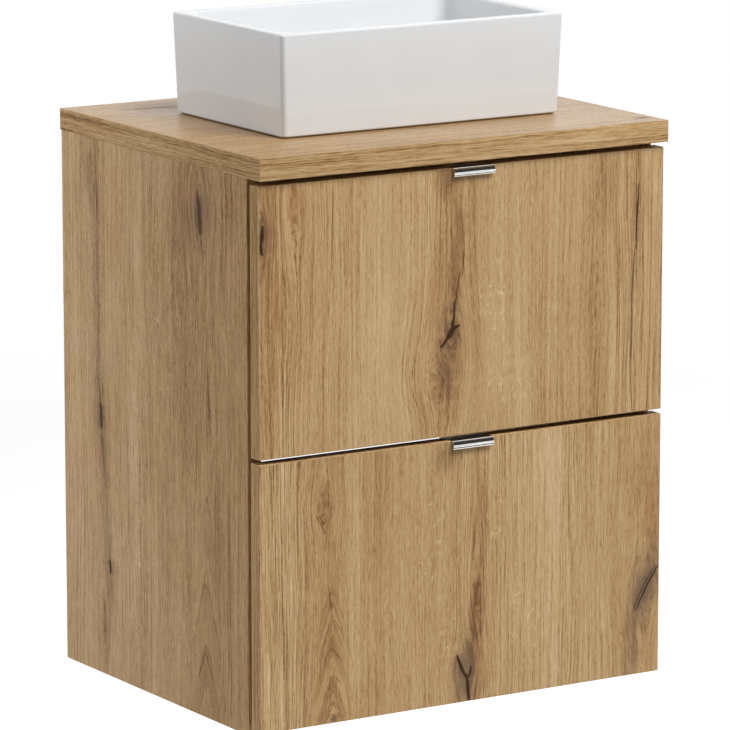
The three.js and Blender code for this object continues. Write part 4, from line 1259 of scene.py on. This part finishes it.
drainX, drainY = (middle(span) for span in rangeOf("waste_body")[:2])
drain = (drainX, drainY, 0)
wasteShape = {
    "bore": 17.5, "tube": 20.5, "flange": 32.0, "thick": 3.0, "spiderDrop": 14.0, "spider": 10.0,
    "boss": 8, "bossHole": 4.3, "armFrom": 7.2, "armHalf": 1.5, "armRound": 0.4, "nutRibs": 32,
}
drainRings = {
    # finish, body, inner and outer radius, roundings from the low inner corner by the outside to the high one
    "flange_seal": ("rubber", "base", 20.8, 31, (0.3, 0.5, 0.5, 0.3)),
    "worktop_gasket": ("rubber", "base", 20.8, 31, (0.4, 0.9, 0.9, 0.4)),
    "lock_nut": ("chrome", "base", 20.8, 28.6, (0.5, 1.2, 0.8, 0.5)),
    "plug_seal": ("rubber", "plug", 21.5, 28, (0.3, 0.5, 0.4, 0.3)),
}
plugShape = {"stem": 4, "head": 8, "radius": 30, "thick": 5.0}


def drainRing(node):
    finish, body, inner, outer, roundings = drainRings[node]
    low, high = rangeOf(node)[2]
    corners = zip((inner, outer, outer, inner), (low, low, high, high), roundings)
    lathePiece(node, finish, drain, list(corners), body=body)


def gripRibs(name, finish, count, radius, width, height, centre, turn=(0.0, 0.0, 0.0)):
    bakeTree(name, ribTree, "base", finish, finish, Count=count, Radius=radius, Width=width, Height=height,
             Centre=centre, Turn=turn)


def spiderArm(n, low, high):
    w = wasteShape
    c, d = math.cos(quarter * n), math.sin(quarter * n)
    half = w["armHalf"]
    points = [(x * c - y * d + drainX, x * d + y * c + drainY, z)
              for x in (w["armFrom"], w["bore"] + 1) for y in (-half, half) for z in (low, high)]
    faces = [(0, 1, 3, 2), (4, 6, 7, 5), (0, 4, 5, 1), (2, 3, 7, 6), (0, 2, 6, 4), (1, 5, 7, 3)]
    mesh = meshFrom(f"wasteSpiderArm{n}", points, faces, "chrome")
    softenEdges(finishPiece(mesh.name, mesh, "base", []), w["armRound"])


def wastePieces():
    w = wasteShape
    end, top = rangeOf("waste_body")[2]
    under = top - w["thick"]
    lathePiece("waste_body", "chrome", drain, [
        (w["bore"], end, 0.4), (w["tube"], end, 0.4), (w["tube"], under, 0.5), (w["flange"], under, 0.5),
        (w["flange"], top - w["thick"] * 0.45, 1.2), (w["flange"] - 2.4, top, 2.0),
        (w["bore"] + w["thick"], top, 2.0), (w["bore"], under, 2.0),
    ])
    high = top - w["spiderDrop"]
    low = high - w["spider"]
    lathePiece(None, "chrome", drain, [
        (w["bossHole"], low, 0.3), (w["boss"], low, 0.8), (w["boss"], high, 0.8), (w["bossHole"], high, 0.5),
    ], "wasteSpiderBoss", sides=48)
    for n in range(4):
        spiderArm(n, low, high)
    for node in ("flange_seal", "worktop_gasket", "lock_nut"):
        drainRing(node)
    span = rangeOf("lock_nut")[2]
    gripRibs("lockNutRibs", "chrome", w["nutRibs"], drainRings["lock_nut"][3], 1.2, span[1] - span[0] - 2,
             (drainX, drainY, middle(span)))
    p = plugShape
    stem, crown = rangeOf("plug_cap")[2]
    under = crown - p["thick"]
    lathePiece("plug_cap", "chrome", drain, [
        (0, stem, 0), (p["stem"], stem, 0.6), (p["stem"], under - 1.6, 0.8), (p["head"], under, 1.5),
        (p["radius"], under, 0.5), (p["radius"], under + 2.2, 1.2), (p["radius"] - 3, under + 3.3, 3.0),
        (p["head"] * 2, under + 4.5, 6.0), (0, crown, 0),
    ], body="plug")
    drainRing("plug_seal")


wastePieces()
print("waste ready")


trapShape = {
    "pipe": 16.0, "pipeWall": 1.5, "union": 24.8, "neck": 21.0, "bottle": 31.0, "wall": 3.0, "cup": 33.0,
    "ribs": 30, "cupRibs": 36, "fit": 0.3, "collar": 20.5, "rosette": 40,
}


def unionNut(node, axis, centre, gripRadius, openHigh):
    # a ribbed union nut between its two ends on its axis
    t = trapShape
    low, high = span = rangeOf(node)[2 if axis == "z" else 1]
    body, inner = t["union"], t["pipe"] + t["fit"]
    ends = [(inner, low, 0.4), (body - 1.5, low, 1.2), (body, low + 2, 1.2), (body, high - 1.2, 0.8),
            (gripRadius, high, 0.8), (gripRadius, low + 4, 0.5), (inner, low + 4, 0.4)]
    if not openHigh:
        ends = [(r, low + high - z, f) for r, z, f in reversed(ends)]
    lathePiece(node, "plastic", centre, ends, axis=axis)
    place = (*centre[:2], middle(span)) if axis == "z" else (centre[0], middle(span), centre[2])
    gripRibs(pieceName(node) + "Ribs", "plastic", t["ribs"], body, 1.2, high - low - 5, place,
             (0.0 if axis == "z" else quarter, 0.0, 0.0))


def trapPieces():
    t = trapShape
    pipe, neck, bottle, cup = t["pipe"], t["neck"], t["bottle"], t["cup"]
    bore, loose, inside = pipe - t["pipeWall"], pipe + t["fit"], bottle - t["wall"]
    low, high = rangeOf("dip_tube")[2]
    lathePiece("dip_tube", "plastic", drain, [
        (bore, low, 0.3), (pipe, low, 0.5), (pipe, high - 2.7, 0.6), (t["collar"], high - 2.7, 0.4),
        (t["collar"], high, 0.4), (bore, high, 0.4),
    ])
    unionNut("inlet_nut", "z", drain, t["collar"] + t["fit"], True)
    unionNut("trap_neck_nut", "z", drain, neck + t["fit"], False)
    _, (_, outletEnd), (rim, neckTop) = rangeOf("trap_bottle")
    shoulder = neckTop - 14
    lathePiece("trap_bottle", "plastic", drain, [
        (inside, rim, 0.5), (bottle, rim, 0.5), (bottle, shoulder - 4, 2.0), (bottle - 4, shoulder, 4.0),
        (neck, shoulder, 1.0), (neck, neckTop, 0.6), (loose, neckTop, 0.5), (loose, shoulder - 3, 0.5),
        (inside, shoulder - 6, 2.0),
    ])
    outlet = (drainX, 0, middle(rangeOf("outlet_pipe")[2]))
    start = drainY + math.sqrt(bottle ** 2 - neck ** 2) - 0.5
    lathePiece(None, "plastic", outlet, [
        (loose, start, 0.3), (neck, start, 0.3), (neck, outletEnd, 0.6), (loose, outletEnd, 0.5),
    ], "trapOutlet", axis="y")
    lathePiece(None, "plastic", outlet, [
        (neck - 1, start, 0.3), (neck + 3, start, 1.0), (neck + 2, start + 5, 2.0),
        (neck - 1, start + 8, 0.6),
    ], "trapOutletCollar", axis="y")
    low, high = rangeOf("trap_cup")[2]
    lathePiece("trap_cup", "plastic", drain, [
        (0, low, 0), (bottle - 9, low, 1.0), (bottle - 2, low + 3, 6.0), (bottle, low + 10, 4.0),
        (bottle, high - 21, 1.5), (cup, high - 17, 1.5), (cup, high - 1, 0.8),
        (bottle + t["fit"], high, 0.5), (bottle + t["fit"], high - 13, 0.3), (inside, high - 13.3, 0.5),
        (inside, low + 8, 3.0), (bottle - 9, low + 3, 3.0), (0, low + 3, 0),
    ])
    gripRibs("trapCupRibs", "plastic", t["cupRibs"], cup, 1.3, 13, (drainX, drainY, high - 9))
    unionNut("outlet_nut", "y", outlet, neck + t["fit"], False)
    start, stop = rangeOf("outlet_pipe")[1]
    lathePiece("outlet_pipe", "plastic", outlet, [
        (bore, start, 0.3), (pipe, start, 0.4), (pipe, stop, 0.4), (bore, stop, 0.3),
    ], axis="y")
    front, back = rangeOf("wall_rosette")[1]
    lathePiece("wall_rosette", "chrome", outlet, [
        (loose, front, 0.4), (pipe + 4, front, 1.0), (pipe + 9, front + 3.4, 6.0),
        (t["rosette"] - 3, back - 2.2, 6.0), (t["rosette"], back - 1, 0.5), (t["rosette"], back, 0.3),
        (t["rosette"] - 1.4, back, 0.2), (pipe + 3, front + 1.6, 2.0), (loose, front + 1.2, 0.2),
    ], axis="y")


trapPieces()
print("trap ready")


def steelPiece(node, body, width):
    name = pieceName(node)
    softenEdges(finishPiece(name, copyOfNode(name, node, "zinc"), body, [node]), width)


steelPiece("wall_rail", "base", 0.6)
steelPiece("left_hanger", "base", 0.9)
steelPiece("right_hanger", "base", 0.9)

hangerScrew = {
    "radius": 4.0, "height": 1.6, "recess": 4.4, "sunk": 0.2, "spacing": 22.0, "below": (36.0, 52.0),
}

for side in ("left", "right"):
    across, (front, _), (_, top) = rangeOf(f"{side}_hanger")
    for row, drop in enumerate(hangerScrew["below"]):
        start = (middle(across) - hangerScrew["spacing"] / 2,
                 front - hangerScrew["height"] / 2 + hangerScrew["sunk"], top - drop)
        screwRow(f"{side}HangerScrews{row + 1}", "base", hangerScrew, start, (hangerScrew["spacing"], 0, 0))
print("hanging parts ready")


for drawer in ("upper", "lower"):
    for side in ("left", "right"):
        runner = {"cabinet": "base", "middle": f"{drawer}_{side}_slide", "drawer": f"{drawer}_drawer"}
        for member, body in runner.items():
            steelPiece(f"{drawer}_{side}_runner_{member}", body, 0.35)
print("runners ready")


stageValues = {
    "floorLevel": -0.80, "floorRadius": 5.0, "floorColours": (srgb(236, 236, 235), srgb(232, 232, 231)),
    "floorGlow": 0.47, "floorFade": (1200.0, 3200.0), "ambient": 0.14, "flagColour": srgb(62, 64, 62),
}
flags = {
    # centre, aim, width and height
    "overheadFlag": ((1.66, -2.2, 2.05), (0.0, -0.4, 0.0), (3.0, 3.0)),
    "leftFlag": ((-2.6, 1.0, 0.3), (-0.2, -0.2, 0.0), (3.0, 2.4)),
    "lowFlag": ((0.75, -1.4, -0.75), (0.75, -1.4, 0.0), (1.2, 1.1)),
}
lamps = {
    # place, aim, width and height, watts
    "keyLamp": ((0.7, -2.9, 3.5), (0.0, -0.3, -0.1), (2.8, 1.8), 216.0),
    "leftLamp": ((-1.45, 0.95, 0.5), (-0.25, -0.15, -0.2), (1.0, 1.2), 16.6),
    "rightLamp": ((2.6, 1.2, 1.4), (0.1, -0.1, -0.1), (1.8, 1.8), 16.0),
}
camera = {"place": (-2.9331, -4.8878, 0.8895), "yaw": 32.106, "down": 11.162, "lens": 260.2}


def seenByEye(tree):
    # 1 for camera, glossy and transmission rays
    rays = tree.nodes.new("ShaderNodeLightPath").outputs
    return largest(largest(rays["Is Camera Ray"], rays["Is Glossy Ray"]), rays["Is Transmission Ray"])


def makeFloor():
    s = stageValues
    mesh = bpy.data.meshes.new("studioFloor")
    shape = bmesh.new()
    bmesh.ops.create_circle(shape, cap_ends=True, segments=96, radius=s["floorRadius"],
                            matrix=Matrix.Translation((0, 0, s["floorLevel"])))
    shape.to_mesh(mesh)
    shape.free()
    material = bpy.data.materials.new("studioFloor")
    material.use_nodes = True
    tree = material.node_tree
    tree.nodes.clear()
    output, matt, glow, both, clear, faded = (tree.nodes.new("ShaderNode" + kind) for kind in (
        "OutputMaterial", "BsdfDiffuse", "Emission", "AddShader", "BsdfTransparent", "MixShader"))
    x, y, _ = split(objectPlace(tree))
    share = ramp(noise(point(x, y, 0.0), scale=0.02, detail=3.0), 0.3, 0.7)
    feed(matt.inputs["Color"], blend(share, *s["floorColours"]))
    feed(glow.inputs["Strength"], times(seenByEye(tree), s["floorGlow"]))
    feedAll(both.inputs, (matt.outputs[0], glow.outputs[0]))
    feedAll(faded.inputs, (ramp(hypotenuse(x, y), *s["floorFade"]), both.outputs[0], clear.outputs[0]))
    feed(output.inputs[0], faded.outputs[0])
    mesh.materials.append(material)
    addObject("studioFloor", mesh)


def aimed(name, data, place, aim, forward):
    thing = addObject(name, data)
    thing.location = place
    thing.rotation_mode = "QUATERNION"
    thing.rotation_quaternion = (Vector(aim) - Vector(place)).to_track_quat(forward, "Y")
    thing.visible_camera = False
    return thing


def makeFlag(name, centre, aim, size):
    # a dark flag that only mirrors in polished metal and glaze
    mesh = bpy.data.meshes.new(name)
    x, y = size[0] / 2, size[1] / 2
    mesh.from_pydata([(-x, -y, 0), (x, -y, 0), (x, y, 0), (-x, y, 0)], [], [(0, 1, 2, 3)])
    material, _, _ = newMaterial(name, Roughness=1.0, BaseColor=(0, 0, 0, 1), EmissionStrength=1.0,
                                 EmissionColor=stageValues["flagColour"], SpecularIORLevel=0.0)
    mesh.materials.append(material)
    flag = aimed(name, mesh, centre, aim, "Z")
    flag.visible_diffuse = flag.visible_shadow = flag.visible_transmission = False


def makeWorld():
    world = bpy.data.worlds.new("studio")
    bpy.context.scene.world = world
    world.use_nodes = True
    strength = ramp(seenByEye(world.node_tree), 0.0, 1.0, stageValues["ambient"], 1.0, "LINEAR")
    feedNamed(world.node_tree.nodes["Background"].inputs, Color=(1, 1, 1, 1), Strength=strength)


def makeLamp(name, place, aim, size, watts):
    light = bpy.data.lights.new(name, "AREA")
    light.shape = "RECTANGLE"
    light.size, light.size_y = size
    light.energy = watts
    aimed(name, light, place, aim, "-Z").visible_glossy = False


def makeCamera():
    data = bpy.data.cameras.new("camera")
    data.sensor_width = 36
    data.lens = camera["lens"]
    data.clip_start, data.clip_end = 0.1, 60
    viewer = addObject("camera", data)
    viewer.location = camera["place"]
    viewer.rotation_euler = (math.radians(90 - camera["down"]), 0, math.radians(-camera["yaw"]))
    bpy.context.scene.camera = viewer


makeFloor()
for name, values in flags.items():
    makeFlag(name, *values)
makeWorld()
for name, values in lamps.items():
    makeLamp(name, *values)
makeCamera()
bpy.context.scene.view_settings.view_transform = "Standard"
print("stage ready")
